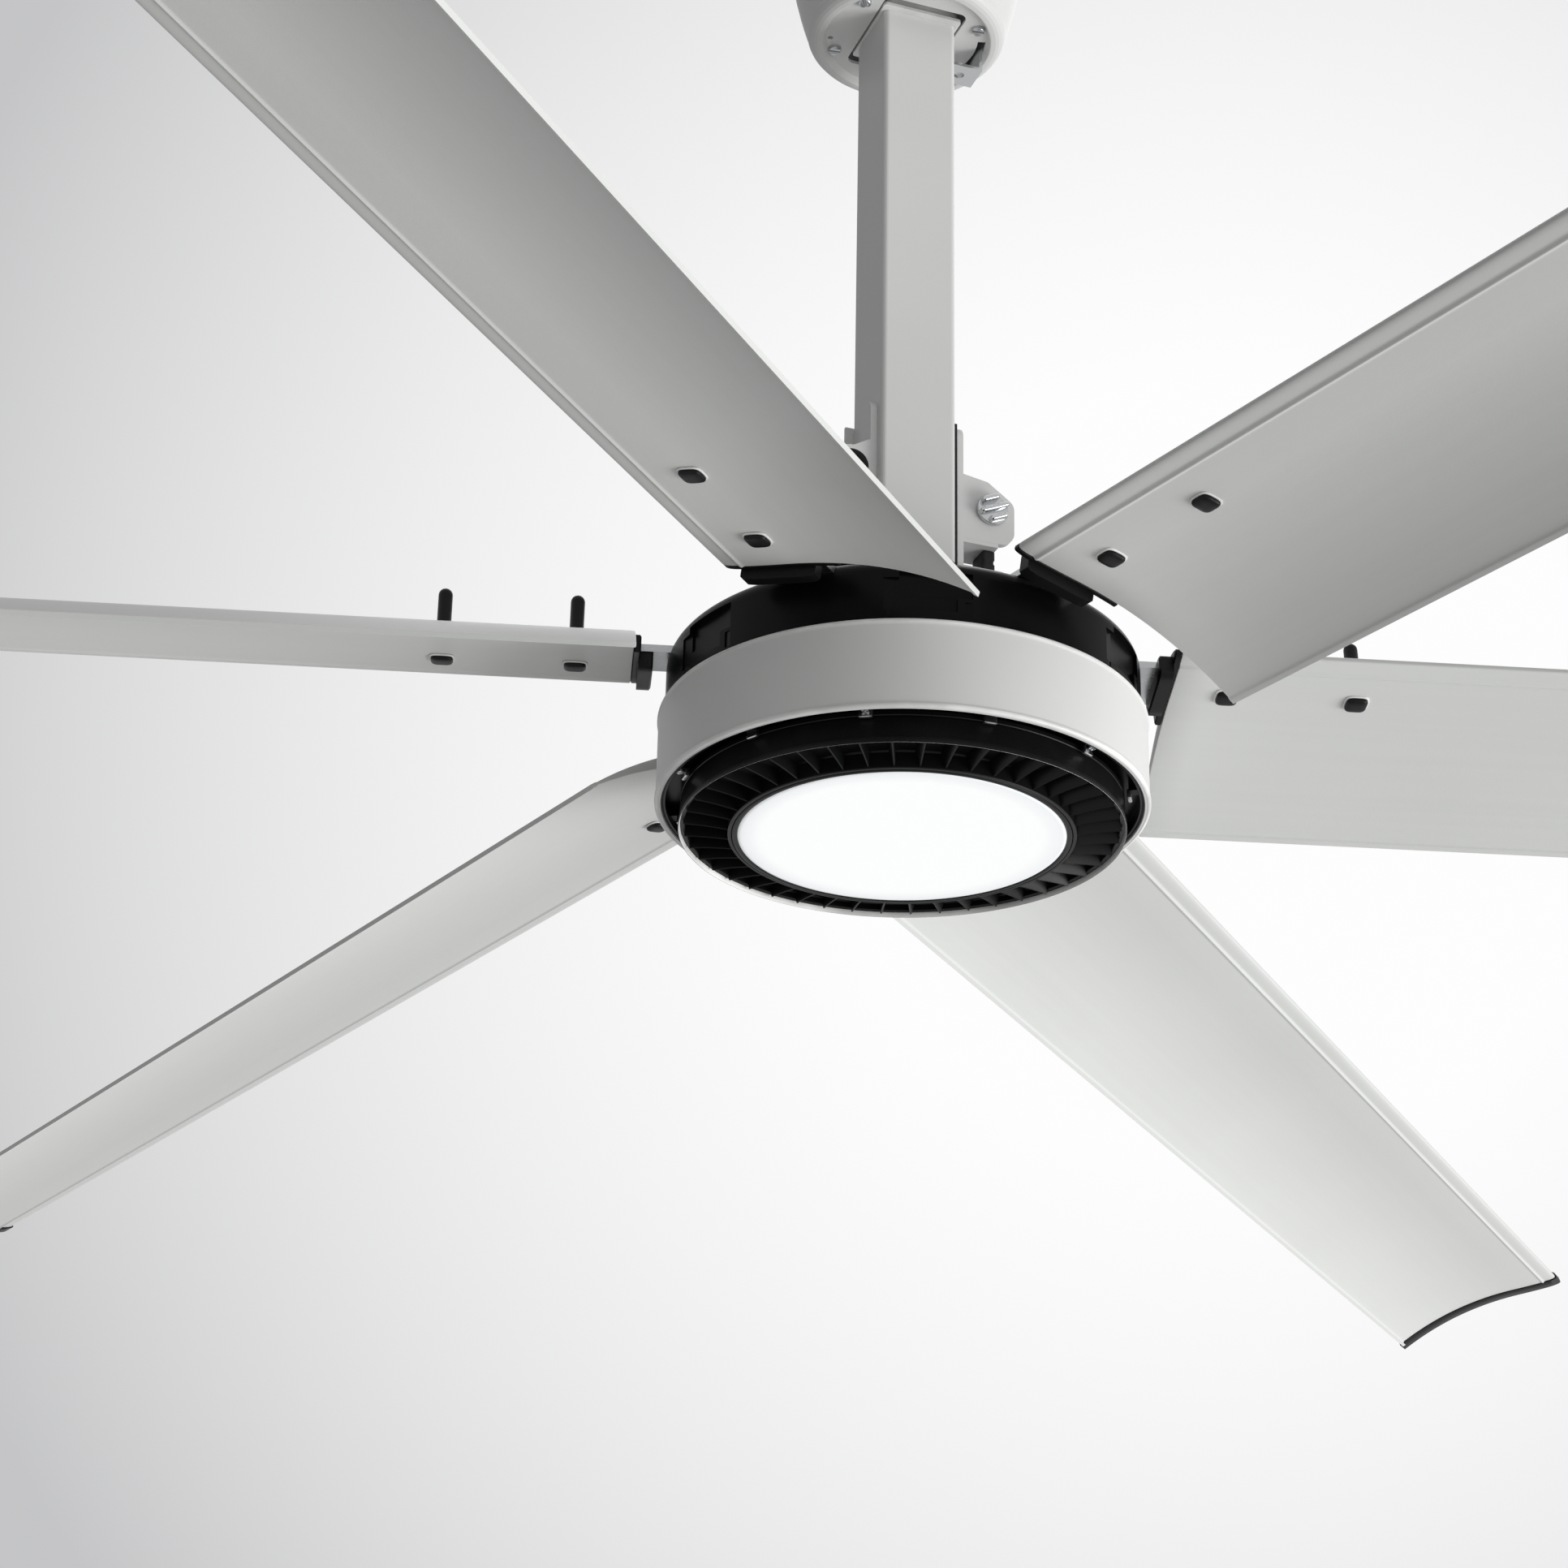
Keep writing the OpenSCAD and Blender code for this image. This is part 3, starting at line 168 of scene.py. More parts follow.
class FanHardwareSizes(PropertyGroup):
    """Sizes and places of the hanger's and the yoke's hardware. Heights in the yoke are above the
    foot of the tube, and heights in the hanger are below the ceiling."""

    plate_t: size("Ceiling plate", "Thickness of the ceiling plate", 0.005)
    hinge_drop: size("Hanger drop", "Depth of the hanger bolt's axis", 0.045)
    hanger_r: size("Hanger bolt", "Radius of the hanger bolt", 0.005)
    ear_out: size("Ear face", "Distance of the hanger ears' outer faces from the axis", 0.0318)
    hex_share: share("Hexagon", "Corner radius of a hexagon as a share of its bolt's radius", 1.9, 3.0)
    cross_r: size("Yoke bolts", "Radius of the cross bolt, the foot bolts and the knob's stud", 0.003)
    cross_y: size("Cross bolt place", "Place of the cross bolt across the tube", -0.002)
    cross_z: size("Cross bolt height", "Height of the cross bolt", 0.060)
    yoke_left: size("Left tongue", "Distance of the left tongue's outer face", 0.0267)
    yoke_right: size("Right tongue", "Distance of the right tongue's outer face", 0.0295)
    nut_t: size("Nut", "Thickness of a nut", 0.005)
    stud_x: size("Knob place", "Distance of the knob's stud from the axis", 0.0465)
    stud_z: size("Knob height", "Height of the knob's stud", 0.040)
    ear_front: size("Ear front", "Front face of the flat ear", -0.016)
    ear_back: size("Ear back", "Back face of the flat ear", -0.012)
    knob_r: size("Knob", "Radius of the knob", 0.0094)
    foot_x: size("Foot bolt place", "Distance of the foot bolts from the axis", 0.037)
    foot_y: size("Foot bolt offset", "Place of the foot bolts across the tube", 0.001)
    eye_x: size("Eye place", "Distance of the eye from the axis", 0.0368)
    eye_z: size("Eye height", "Height of the eye", 0.053)
    eye_r: size("Eye", "Radius of the eye's hole", 0.005)
    bush_r: size("Bush", "Radius of the eye's bush", 0.0084)
    bush_lip: size("Bush lip", "Width of the bush's rolled lip", 0.0012)
    bush_top: size("Bush face", "Back face of the bush", -0.0111)
    stud_ring: size("Canopy screw ring", "Radius on which the canopy screws stand", 0.044)
    mouth_z: size("Canopy floor", "Height of the floor of the canopy's recess", -0.108)
    strap_x: size("Strap place", "Distance of the safety strap from the axis", 0.044)


class FanColours(PropertyGroup):
    """Colours of the finishes."""

    white_paint: colour("White paint", "Canopy, tube, drum band and brackets", (0.72, 0.725, 0.715))
    blade_paint: colour("Blade paint", "The six blades", (0.66, 0.67, 0.655))
    white_plastic: colour("White plastic", "Collar and the light's thin edge", (0.80, 0.80, 0.79))
    black_paint: colour("Black paint", "Motor covers and coupling", (0.0032, 0.0034, 0.0036))
    black_plastic: colour("Black plastic", "Plugs, caps, bezel and fins", (0.0056, 0.0058, 0.0061))
    zinc: colour("Zinc", "Screws, arms and ceiling plate", (0.52, 0.53, 0.54))
    bright: colour("Bright plate", "Bolts, knob and strap", (0.60, 0.61, 0.62))
    bearing_steel: colour("Ground steel", "Shaft and bearings", (0.50, 0.51, 0.53))
    rubber: colour("Rubber", "Pads, bushes and buffers", (0.012, 0.012, 0.012))
    lens: colour("Lens", "Opal lens, lit from behind", (0.97, 0.98, 0.985))
    core_steel: colour("Core steel", "Stacked sheets and magnet ring", (0.20, 0.22, 0.25))
    copper: colour("Copper", "Enamelled windings", (0.45, 0.14, 0.05))
    board: colour("Circuit board", "Driver board", (0.012, 0.09, 0.035))
    led_board: colour("Lamp board", "Board under the lens", (0.78, 0.79, 0.76))
    magnet: colour("Magnet", "Plated magnets", (0.16, 0.17, 0.18))
    cast_alu: colour("Cast aluminium", "Stator hub", (0.40, 0.41, 0.42))
    block: colour("Terminal block", "Ivory moulded block", (0.62, 0.58, 0.44))


class FanStudio(PropertyGroup):
    """Camera, lamps and backdrop."""

    eye: spot("Camera", "Place of the camera", (-0.60092, -1.48732, -1.30797))
    turn: FloatVectorProperty(name="Turn", description="Turn of the camera in degrees", size=3,
                              default=(113.8937, -1.136, -20.2295))
    focal: share("Focal length", "Lens in millimetres on a 36 mm wide frame", 74.72, 200.0)
    floor_r: size("Floor radius", "Radius of the round floor", 3.0)
    floor_z: size("Floor", "Height of the floor under the ceiling plate", -6.0)
    backdrop: colour("Backdrop", "Pale backdrop on the bright side", (0.985, 0.985, 0.985))
    backdrop_shade: colour("Backdrop shade", "Backdrop on the dim side", (0.555, 0.557, 0.565))
    backdrop_behind: colour("Backdrop behind", "Backdrop far from the photograph's view", (0.72, 0.72, 0.72))
    light_from: FloatVectorProperty(name="Light side", description="Direction that the soft light comes from",
                                    size=3, default=(0.84, -0.50, -0.20), subtype="XYZ")
    bright_spot: FloatVectorProperty(name="Bright spot", description="Direction of the brightest backdrop",
                                     size=3, default=(0.429, 0.806, 0.408), subtype="XYZ")
    dim_side: colour("Dim side", "Soft light from the dim side", (0.042, 0.043, 0.045))
    bright_side: colour("Bright side", "Soft light from the bright side", (0.80, 0.80, 0.795))
    key_place: spot("Key lamp place", "Place of the key lamp", (7.2, -3.7, -4.7))
    key_width: size("Key lamp width", "Width of the key lamp", 5.6)
    key_watts: share("Key lamp", "Power of the key lamp in watts", 640.0, 2000.0)
    top_place: spot("Top lamp place", "Place of the top lamp", (1.0, 1.6, 2.0))
    top_width: size("Top lamp width", "Width of the top lamp", 2.4)
    top_watts: share("Top lamp", "Power of the top lamp in watts", 16.0, 200.0)


GROUPS = {"fan_blades": FanBladeSizes, "fan_drum": FanDrumSizes, "fan_hardware": FanHardwareSizes,
          "fan_colours": FanColours, "fan_studio": FanStudio}


class Value:
    """A node's output. Arithmetic on it adds the Math nodes that work it out."""

    def __init__(self, nodes, socket):
        self.nodes = nodes
        self.socket = socket

    def __add__(self, other):
        return self.nodes.math("ADD", self, other)

    def __radd__(self, other):
        return self.nodes.math("ADD", other, self)

    def __sub__(self, other):
        return self.nodes.math("SUBTRACT", self, other)

    def __rsub__(self, other):
        return self.nodes.math("SUBTRACT", other, self)

    def __mul__(self, other):
        return self.nodes.math("MULTIPLY", self, other)

    def __rmul__(self, other):
        return self.nodes.math("MULTIPLY", other, self)

    def above(self, low, high):
        """0 below low, 1 above high and straight between."""
        return self.nodes.node("ShaderNodeMapRange", {"clamp": True}, self, low, high, 0.0, 1.0)


class Nodes:
    """A node tree, and the ways that nodes are added to it."""

    def __init__(self, tree):
        self.tree = tree

    def node(self, kind, settings, *values, out=0, **named):
        """Adds a node, makes its settings first, then fills its sockets in order or by name."""
        made = self.tree.nodes.new(kind)
        for key, value in settings.items():
            setattr(made, key, value)
        for socket, value in [*zip(made.inputs, values), *((made.inputs[k], v) for k, v in named.items())]:
            self.fill(socket, value)
        return Value(self, made.outputs[out])

    def fill(self, socket, value):
        """Links a Value to a socket, or writes a number, vector or colour on it."""
        if isinstance(value, Value):
            self.tree.links.new(value.socket, socket)
        elif value is not None:
            socket.default_value = value

    def math(self, operation, *values):
        return self.node("ShaderNodeMath", {"operation": operation}, *values)

    def mix(self, factor, low, high):
        """A colour between two, by a Mix node that works on colours."""
        ends = [(*end, 1.0) if isinstance(end, tuple) else end for end in (low, high)]
        skipped = [None] * 5  # the sockets of its modes for numbers and vectors
        return self.node("ShaderNodeMix", {"data_type": "RGBA"}, factor, *skipped, *ends, out=2)


class Finish(Nodes):
    """One material: its nodes, its surface and the patterns that feed it."""

    def __init__(self, name, base, roughness=0.4, metallic=0.0, **fixed):
        self.material = bpy.data.materials.new(name)
        self.material.use_nodes = True
        super().__init__(self.material.node_tree)
        self.surface = self.tree.nodes["Principled BSDF"]
        self.surface.inputs["Base Color"].default_value = (*base, 1.0)
        self.surface.inputs["Roughness"].default_value = roughness
        self.surface.inputs["Metallic"].default_value = metallic
        for socket, value in fixed.items():
            self.surface.inputs[socket.replace("_", " ")].default_value = value
        self.base = tuple(base)
        self.place = self.node("ShaderNodeTexCoord", {}, out="Object")

    def stretched(self, scale, turn=0.0):
        """Object coordinates turned about Z and stretched, for streaks."""
        turned_place = self.node("ShaderNodeMapping", {"vector_type": "POINT"}, self.place, None,
                                 (0.0, 0.0, turn))
        return self.node("ShaderNodeMapping", {"vector_type": "POINT"}, turned_place, None, None, scale)

    def noise(self, scale, detail=3.0, rough=0.5, at=None):
        return self.node("ShaderNodeTexNoise", {}, Vector=at or self.place, Scale=scale,
                         Detail=detail, Roughness=rough)

    def cells(self, scale):
        return self.node("ShaderNodeTexVoronoi", {}, Vector=self.place, Scale=scale)

    def tint(self, factor, amount):
        """The base colour, made darker or lighter by amount as factor goes from 0 to 1."""
        dark = tuple(max(0.0, c * (1 - amount)) for c in self.base)
        pale = tuple(min(1.0, c * (1 + amount)) for c in self.base)
        return self.mix(factor, dark, pale)

    def set(self, socket, value):
        self.fill(self.surface.inputs[socket], value)

    def bump(self, height, distance, strength):
        self.set("Normal", self.node("ShaderNodeBump", {}, Strength=strength, Distance=distance,
                                     Height=height))

    def done(self, tone, amount, roughness, relief, depth, strength):
        """Varies the base colour by amount with tone, sets the roughness and the relief, and gives
        the material."""
        self.set("Base Color", self.tint(tone, amount))
        self.set("Roughness", roughness)
        self.bump(relief, depth, strength)
        return self.material


def painted(name, base, roughness, grain=900.0, depth=0.06 * MM, streak=None, turn=0.0, specular=0.3):
    """Powder coat: a fine orange peel, with slow changes of tone and gloss, and streaks if asked."""
    paint = Finish(name, base, roughness, Specular_IOR_Level=specular)
    peel = paint.noise(grain, 2.0, 0.5)
    slow = paint.noise(7.0, 2.0, 0.5)
    if streak:
        slow = (slow + paint.noise(1.0, 3.0, 0.6, paint.stretched(streak, turn))) * 0.5
    tone = slow.above(0.3, 0.7)
    return paint.done(tone, 0.022, roughness - 0.05 + tone * 0.07 + peel * 0.03, peel, depth, 0.6)


def blade_finish(name, base, turn=0.0):
    """The blades' powder coat, with faint streaks along X once the pattern is turned by turn."""
    return painted(name, base, 0.40, streak=(3.0, 160.0, 160.0), turn=turn)


def moulded(name, base, roughness, grain=1500.0, depth=0.08 * MM, **fixed):
    """Moulded plastic or rubber: a fine cell grain with patches of gloss."""
    skin = Finish(name, base, roughness, **fixed)
    worn = skin.noise(24.0, 3.0, 0.6)
    gloss = roughness - 0.06 + worn.above(0.3, 0.75) * 0.13
    return skin.done(worn.above(0.35, 0.7), 0.18, gloss, skin.cells(grain), depth, 0.5)


def plated(name, base, roughness, amount=0.10):
    """Metal: fine scratches one way, and smudges that change its gloss."""
    metal = Finish(name, base, roughness, 1.0)
    lines = metal.noise(1.0, 2.0, 0.6, metal.stretched((60.0, 60.0, 1800.0)))
    smudge = metal.noise(38.0, 3.0, 0.6)
    gloss = roughness + lines * 0.10 + smudge.above(0.45, 0.75) * 0.12
    return metal.done(lines * 0.5 + smudge * 0.5, amount, gloss, lines, 0.03 * MM, 0.35)


def cast(name, base, roughness):
    """Cast or sintered metal: a coarse grain."""
    metal = Finish(name, base, roughness, 1.0)
    grain = metal.noise(420.0, 4.0, 0.65)
    return metal.done(grain.above(0.3, 0.7), 0.16, roughness + grain * 0.15, grain, 0.2 * MM, 0.6)


def banded(name, base, roughness, metallic, step, depth):
    """Sheets or turns of wire on edge: a wave along Z, one line to each step."""
    edges = Finish(name, base, roughness, metallic)
    lines = edges.node("ShaderNodeTexWave", {"bands_direction": "Z"}, Vector=edges.place,
                       Scale=1.0 / (step * 20.0), Distortion=0.0)
    return edges.done(lines, 0.25, roughness + lines * 0.1, lines, depth, 0.8)


def printed_board(name, base):
    """Circuit board: copper tracks that show through a glossy mask, and pale solder dots."""
    board = Finish(name, base, 0.3, Coat_Weight=0.4)
    tracks = board.node("ShaderNodeTexBrick", {"offset": 0.5}, Vector=board.place, Scale=90.0,
                        out="Fac", **{"Mortar Size": 0.03})
    solder = 1.0 - board.cells(260.0).above(0.10, 0.16)
    tone = board.mix(tracks, board.base, tuple(c * 1.9 for c in board.base))
    board.set("Base Color", board.mix(solder, tone, (0.55, 0.56, 0.55)))
    board.set("Metallic", solder * 0.9)
    board.bump(tracks, 0.05 * MM, 0.5)
    return board.material


def opal(name, base, radius):
    """Opal lens lit from behind: its glow and its colour fall a little towards the rim."""
    lens = Finish(name, base, 0.28, Emission_Strength=0.24)
    flat_place = lens.node("ShaderNodeMapping", {}, lens.place, None, None, (1.0, 1.0, 0.0))
    around = lens.node("ShaderNodeVectorMath", {"operation": "LENGTH"}, flat_place, out="Value")
    rim = around.above(radius * 0.86, radius * 1.02)
    grain = lens.noise(300.0, 2.0, 0.5)
    lens.set("Emission Color", lens.mix(rim, (1.0, 1.0, 1.0), (0.80, 0.83, 0.86)))
    lens.set("Base Color", lens.mix(rim, lens.base, (0.80, 0.82, 0.84)))
    lens.set("Roughness", 0.24 + grain * 0.1)
    lens.bump(grain, 0.04 * MM, 0.4)
    return lens.material


def finishes(scene):
    """Every material of the fan, by the name of the record's slot."""
    c = scene.fan_colours
    return {
        "white_paint": painted("white_paint", c.white_paint, 0.42),
        "blade_paint": blade_finish("blade_paint", c.blade_paint),
        "white_plastic": moulded("white_plastic", c.white_plastic, 0.34),
        "black_paint": painted("black_paint", c.black_paint, 0.30, 1200.0, 0.04 * MM, specular=0.08),
        "black_plastic": moulded("black_plastic", c.black_plastic, 0.37, Specular_IOR_Level=0.18),
        "zinc": plated("zinc", c.zinc, 0.23),
        "bright": plated("bright", c.bright, 0.12, 0.05),
        "bearing_steel": plated("bearing_steel", c.bearing_steel, 0.16),
        "rubber": moulded("rubber", c.rubber, 0.62, 700.0, 0.2 * MM, Specular_IOR_Level=0.3),
        "lens": opal("lens", c.lens, scene.fan_drum.lens_r),
        "core_steel": banded("core_steel", c.core_steel, 0.45, 1.0, 0.5 * MM, 0.1 * MM),
        "copper": banded("copper", c.copper, 0.3, 0.9, 0.9 * MM, 0.4 * MM),
        "board": printed_board("board", c.board),
        "led_board": printed_board("led_board", c.led_board),
        "magnet": cast("magnet", c.magnet, 0.4),
        "cast_alu": cast("cast_alu", c.cast_alu, 0.42),
        "block": moulded("block", c.block, 0.5),
    }


def material(slot_name):
    """The material of a slot. The first call makes them all."""
    found = bpy.data.materials.get(slot_name)
    if found is None or not found.get("fan_finish"):
        frame_slots = {row["slot"] for row in frame["record"]["materials"]}
        for old in [m for m in bpy.data.materials if m.name in frame_slots]:
            old.name = old.name + ".frame"
        for made in finishes(bpy.context.scene).values():
            made["fan_finish"] = True
    return bpy.data.materials[slot_name]


class Shells:
    """Closed surfaces that are gathered into one mesh."""

    def __init__(self):
        self.points = []
        self.faces = []
        self.count = 0

    def add(self, points, faces, place=None):
        """Adds points (n, 3) and faces, moved by a 4 by 4 matrix if one is given."""
        if place is not None:
            points = points @ place[:3, :3].T + place[:3, 3]
        self.points.append(points)
        self.faces += [block + self.count for block in faces]
        self.count += len(points)
        return self

    def rings(self, rings, place=None, ladder=False, loop=False):
        """Joins rings (k, m, 3) of equal length by quads: ring i to ring i + 1, point j to j + 1.
        Open ends are closed by a fan to the ring's middle, or with ladder by rungs from point j to
        point m - 1 - j, which suits an arched section. With loop the last ring meets the first."""
        rings = np.asarray(rings, float)
        k, m = rings.shape[:2]
        i = np.arange(k if loop else k - 1)[:, None]
        j = np.arange(m)[None, :]
        a, b = i * m + j, i * m + (j + 1) % m
        c, d = ((i + 1) % k) * m + (j + 1) % m, ((i + 1) % k) * m + j
        faces = [np.stack([a, b, c, d], -1).reshape(-1, 4)]
        points = rings.reshape(-1, 3)
        last = (k - 1) * m
        if ladder:
            j = np.arange(m // 2 - 1)
            rungs = np.stack([j, j + 1, m - 2 - j, m - 1 - j], -1)
            faces += [rungs[:, ::-1], rungs + last]
        elif not loop:
            j = np.arange(m)
            points = np.vstack([points, rings[0].mean(0), rings[-1].mean(0)])
            faces.append(np.stack([np.full(m, k * m), (j + 1) % m, j], -1))
            faces.append(np.stack([np.full(m, k * m + 1), last + j, last + (j + 1) % m], -1))
        return self.add(points, faces, place)

    def model(self, name, finish, sharp=38.0):
        """Makes the mesh object, smooth except at edges sharper than sharp degrees."""
        mesh = bpy.data.meshes.new(name)
        corners = [row for block in self.faces for row in block.tolist()]
        mesh.from_pydata(np.vstack(self.points).tolist(), [], corners)
        mesh.polygons.foreach_set("use_smooth", np.ones(len(mesh.polygons), bool))
        mesh.set_sharp_from_angle(angle=math.radians(sharp))
        mesh.materials.append(finish)
        made = bpy.data.objects.new(name, mesh)
        bpy.context.scene.collection.objects.link(made)
        return made

    def piece(self, name, slot_name, body, *nodes):
        """Makes a piece of the fan that rides on a body, and stands for the nodes that are named."""
        made = self.model(name, material(slot_name))
        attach(made, body)
        if nodes:
            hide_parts(*nodes)
        return made


def turned(profile, count):
    """A closed profile of (radius, height) points carried once round Z: point i at step j lies at
    radius r_i in the direction j of count. The profile runs anticlockwise, seen with r to the right."""
    profile = np.asarray(profile, float)
    t = np.arange(count)[:, None] * TAU / count
    r, z = profile[:, 0][None, :], profile[:, 1][None, :]
    return np.stack([r * np.cos(t), r * np.sin(t), z + 0 * t], -1)


def lathe(shells, profile, count, place):
    """A ring-shaped solid: a closed profile turned round Z, its last step joined to its first."""
    return shells.rings(turned(profile, count)[::-1], place, loop=True)


def near(across, up, *pairs):
    """Points or levels about a corner, from pairs of offsets in millimetres."""
    return [(across + a * MM, up + b * MM) for a, b in pairs]


def in_mm(*pairs):
    """Points or levels that are written in millimetres."""
    return near(0.0, 0.0, *pairs)


def stack(shells, outline, heights, place):
    """A solid of stacked outlines. outline(inset) gives the points (m, 2) of a level drawn in by
    inset, and heights lists (height, inset) from the bottom up. Both ends are closed."""
    flat = [(outline(inset), height) for height, inset in heights]
    return shells.rings([np.column_stack([points, np.full(len(points), z)]) for points, z in flat], place)


def round_outline(radius, count=24):
    """Circle: radius less the inset, in equal steps."""
    t = np.arange(count) * TAU / count
    return lambda inset: (radius - inset) * np.column_stack([np.cos(t), np.sin(t)])


def bar_outline(half_x, half_y, power, count=40):
    """Superellipse: the points where the sum of both coordinates, each over its half width and to
    that power, is one. A high power gives a bar with soft corners."""
    t = np.arange(count) * TAU / count
    c, s = np.cos(t), np.sin(t)
    unit = np.column_stack([c, s]) / ((np.abs(c) ** power + np.abs(s) ** power) ** (1 / power))[:, None]
    return lambda inset: unit * [half_x - inset, half_y - inset]


def moon_outline(radius, cut, count=20):
    """The part of a circle beyond a straight cut: an arc and its chord, drawn in to their middle."""
    start = math.asin(cut / radius)
    t = np.linspace(start, math.pi - start, count)
    points = radius * np.column_stack([np.cos(t), np.sin(t)])
    middle = points.mean(0)
    return lambda inset: middle + (points - middle) * (1 - inset / radius)


def hex_outline(radius, per_side=4):
    """Regular hexagon: straight lines between six corners, per_side points on each."""
    turn = np.arange(7) * TAU / 6
    corners = np.column_stack([np.cos(turn), np.sin(turn)])
    f = (np.arange(per_side) / per_side)[:, None]
    unit = np.vstack([corners[k] * (1 - f) + corners[k + 1] * f for k in range(6)])
    return lambda inset: (radius - inset) * unit


def shift(x=0.0, y=0.0, z=0.0):
    """A 4 by 4 matrix that moves."""
    m = np.eye(4)
    m[:3, 3] = x, y, z
    return m


def spin(axis, radians):
    """A 4 by 4 matrix that turns about X, Y or Z by the right-hand rule."""
    c, s = math.cos(radians), math.sin(radians)
    i, j = {"X": (1, 2), "Y": (2, 0), "Z": (0, 1)}[axis]
    m = np.eye(4)
    m[i, i] = m[j, j] = c
    m[i, j], m[j, i] = -s, s
    return m


class BladeShape:
    """Works out the blade's section and where each blade lies, from its sizes."""

    def __init__(self, sizes):
        self.s = sizes
        self.slope = math.atan(sizes.camber * 4 * (1 - 2 * sizes.arm_share) / sizes.chord)
        self.arm_pitch = sizes.pitch - self.slope

    def middle(self, u):
        """Middle line: a parabola as high as the arch, over the share u of the width."""
        return self.s.camber * 4 * u * (1 - u)

    def half(self, u):
        """Half the thickness: a quarter ellipse from the nose to the thickest place, then a fall
        by a power of the share that is left, down to the tail edge."""
        p = self.s.thick_share
        nose = np.sqrt(np.maximum(0, 1 - (1 - u / p) ** 2))
        tail = 1 - (np.clip((u - p) / (1 - p), 0, 1)) ** 1.2
        return self.s.tail / 2 + (self.s.thickness - self.s.tail) / 2 * np.where(u < p, nose, tail)

    def outline(self, low=0.0, high=1.0, grow=0.0, count=44, beads=False):
        """The section from share low to high, grown by grow: along the top from nose to tail and
        back along the bottom, laid so that the arm is level. With beads it has the bead under the
        nose, a bell curve over the distance from its line, and the tail's rim, a soft step."""
        s = self.s
        u = low + (high - low) * (0.5 - 0.5 * np.cos(np.pi * np.arange(count + 1) / count))
        if beads:
            width, line, rim_line = s.ridge_w / s.chord, s.ridge_in / s.chord, 1 - s.rim_w / s.chord
            u = np.sort(np.concatenate([u, line + width * np.linspace(-2.4, 2.4, 13),
                                        rim_line + width * np.linspace(-1.2, 1.2, 9)]))
        spread = (2 * (u - low) / (high - low) - 1) * max(grow, 0)
        x = (u - s.arm_share) * s.chord + spread
        top = self.middle(u) + self.half(u) + grow
        under = self.middle(u) - self.half(u) - grow
        if beads:
            off_line, off_rim = (u - line) / width, (u - rim_line) / width
            nose_step = s.ridge_h * 0.25 * (1 - np.tanh(2 * off_line)) * np.clip(u / line, 0, 1)
            rim = s.rim_h * 0.5 * (1 + np.tanh(3 * off_rim))
            top = top + rim * 0.5
            under = under - s.ridge_h * np.exp(-off_line ** 2) + nose_step - rim
        points = np.vstack([np.column_stack([x, top]), np.column_stack([x, under])[::-1]])
        c, sine = math.cos(self.slope), math.sin(self.slope)
        return (points - [0, self.middle(s.arm_share)]) @ np.array([[c, -sine], [sine, c]])

    def turn(self, number):
        """How far round Z a blade stands at rest."""
        return self.s.first_turn + TAU / self.s.count * number

    def place(self, number):
        """Matrix of a blade's frame: X out along the arm, Y to the tail, Z square to the arm."""
        return (shift(z=FACE_Z) @ spin("Z", self.turn(number)) @ shift(z=self.s.arm_z)
                @ spin("X", -self.arm_pitch))

    def length(self, shells, outline, stations, place):
        """A solid of one outline carried along X. At each (x, inset) every point moves by inset
        towards its partner on the other side, and the whole draws in by as much along the width."""
        middle = (outline + outline[::-1]) / 2
        away = outline - middle
        reach = np.linalg.norm(away, axis=1, keepdims=True)
        centre = middle.mean(0)
        half = np.linalg.norm(middle - centre, axis=1).max()
        rings = []
        for x, inset in stations:
            thin = middle + away * (1 - inset / np.maximum(reach, inset * 1.05 + 1e-9))
            points = centre + (thin - centre) * (1 - inset / half)
            rings.append(np.column_stack([np.full(len(points), x), points]))
        return shells.rings(rings[::-1], place, ladder=True)


class FAN_OT_blades(Operator):
    """The six blades, each with the bead under its nose, the rim of its tail and soft ends"""

    bl_idname = "fan.blades"
    bl_label = "Blades"

    def execute(self, context):
        s, paint = context.scene.fan_blades, context.scene.fan_colours.blade_paint
        shape = BladeShape(s)
        outline = shape.outline(beads=True)
        root, end = s.root_r, s.tip_r - s.cap_length - GAP
        straight = np.linspace(root + 20 * MM, end - 20 * MM, 14)
        stations = [*near(root, 0.0, (0, 0.7), (0.25, 0.2), (0.8, 0)), *((x, 0.0) for x in straight),
                    *near(end, 0.0, (-0.4, 0), (0, 0.4))]
        for n in range(s.count):
            shells = shape.length(Shells(), outline, stations, shape.place(n))
            made = shells.piece(f"blade_skin_{n + 1}", "blade_paint", "rotor", f"blade_{n + 1}")
            made.data.materials[0] = blade_finish(f"blade_paint_{n + 1}", paint, -shape.turn(n))
        return {"FINISHED"}


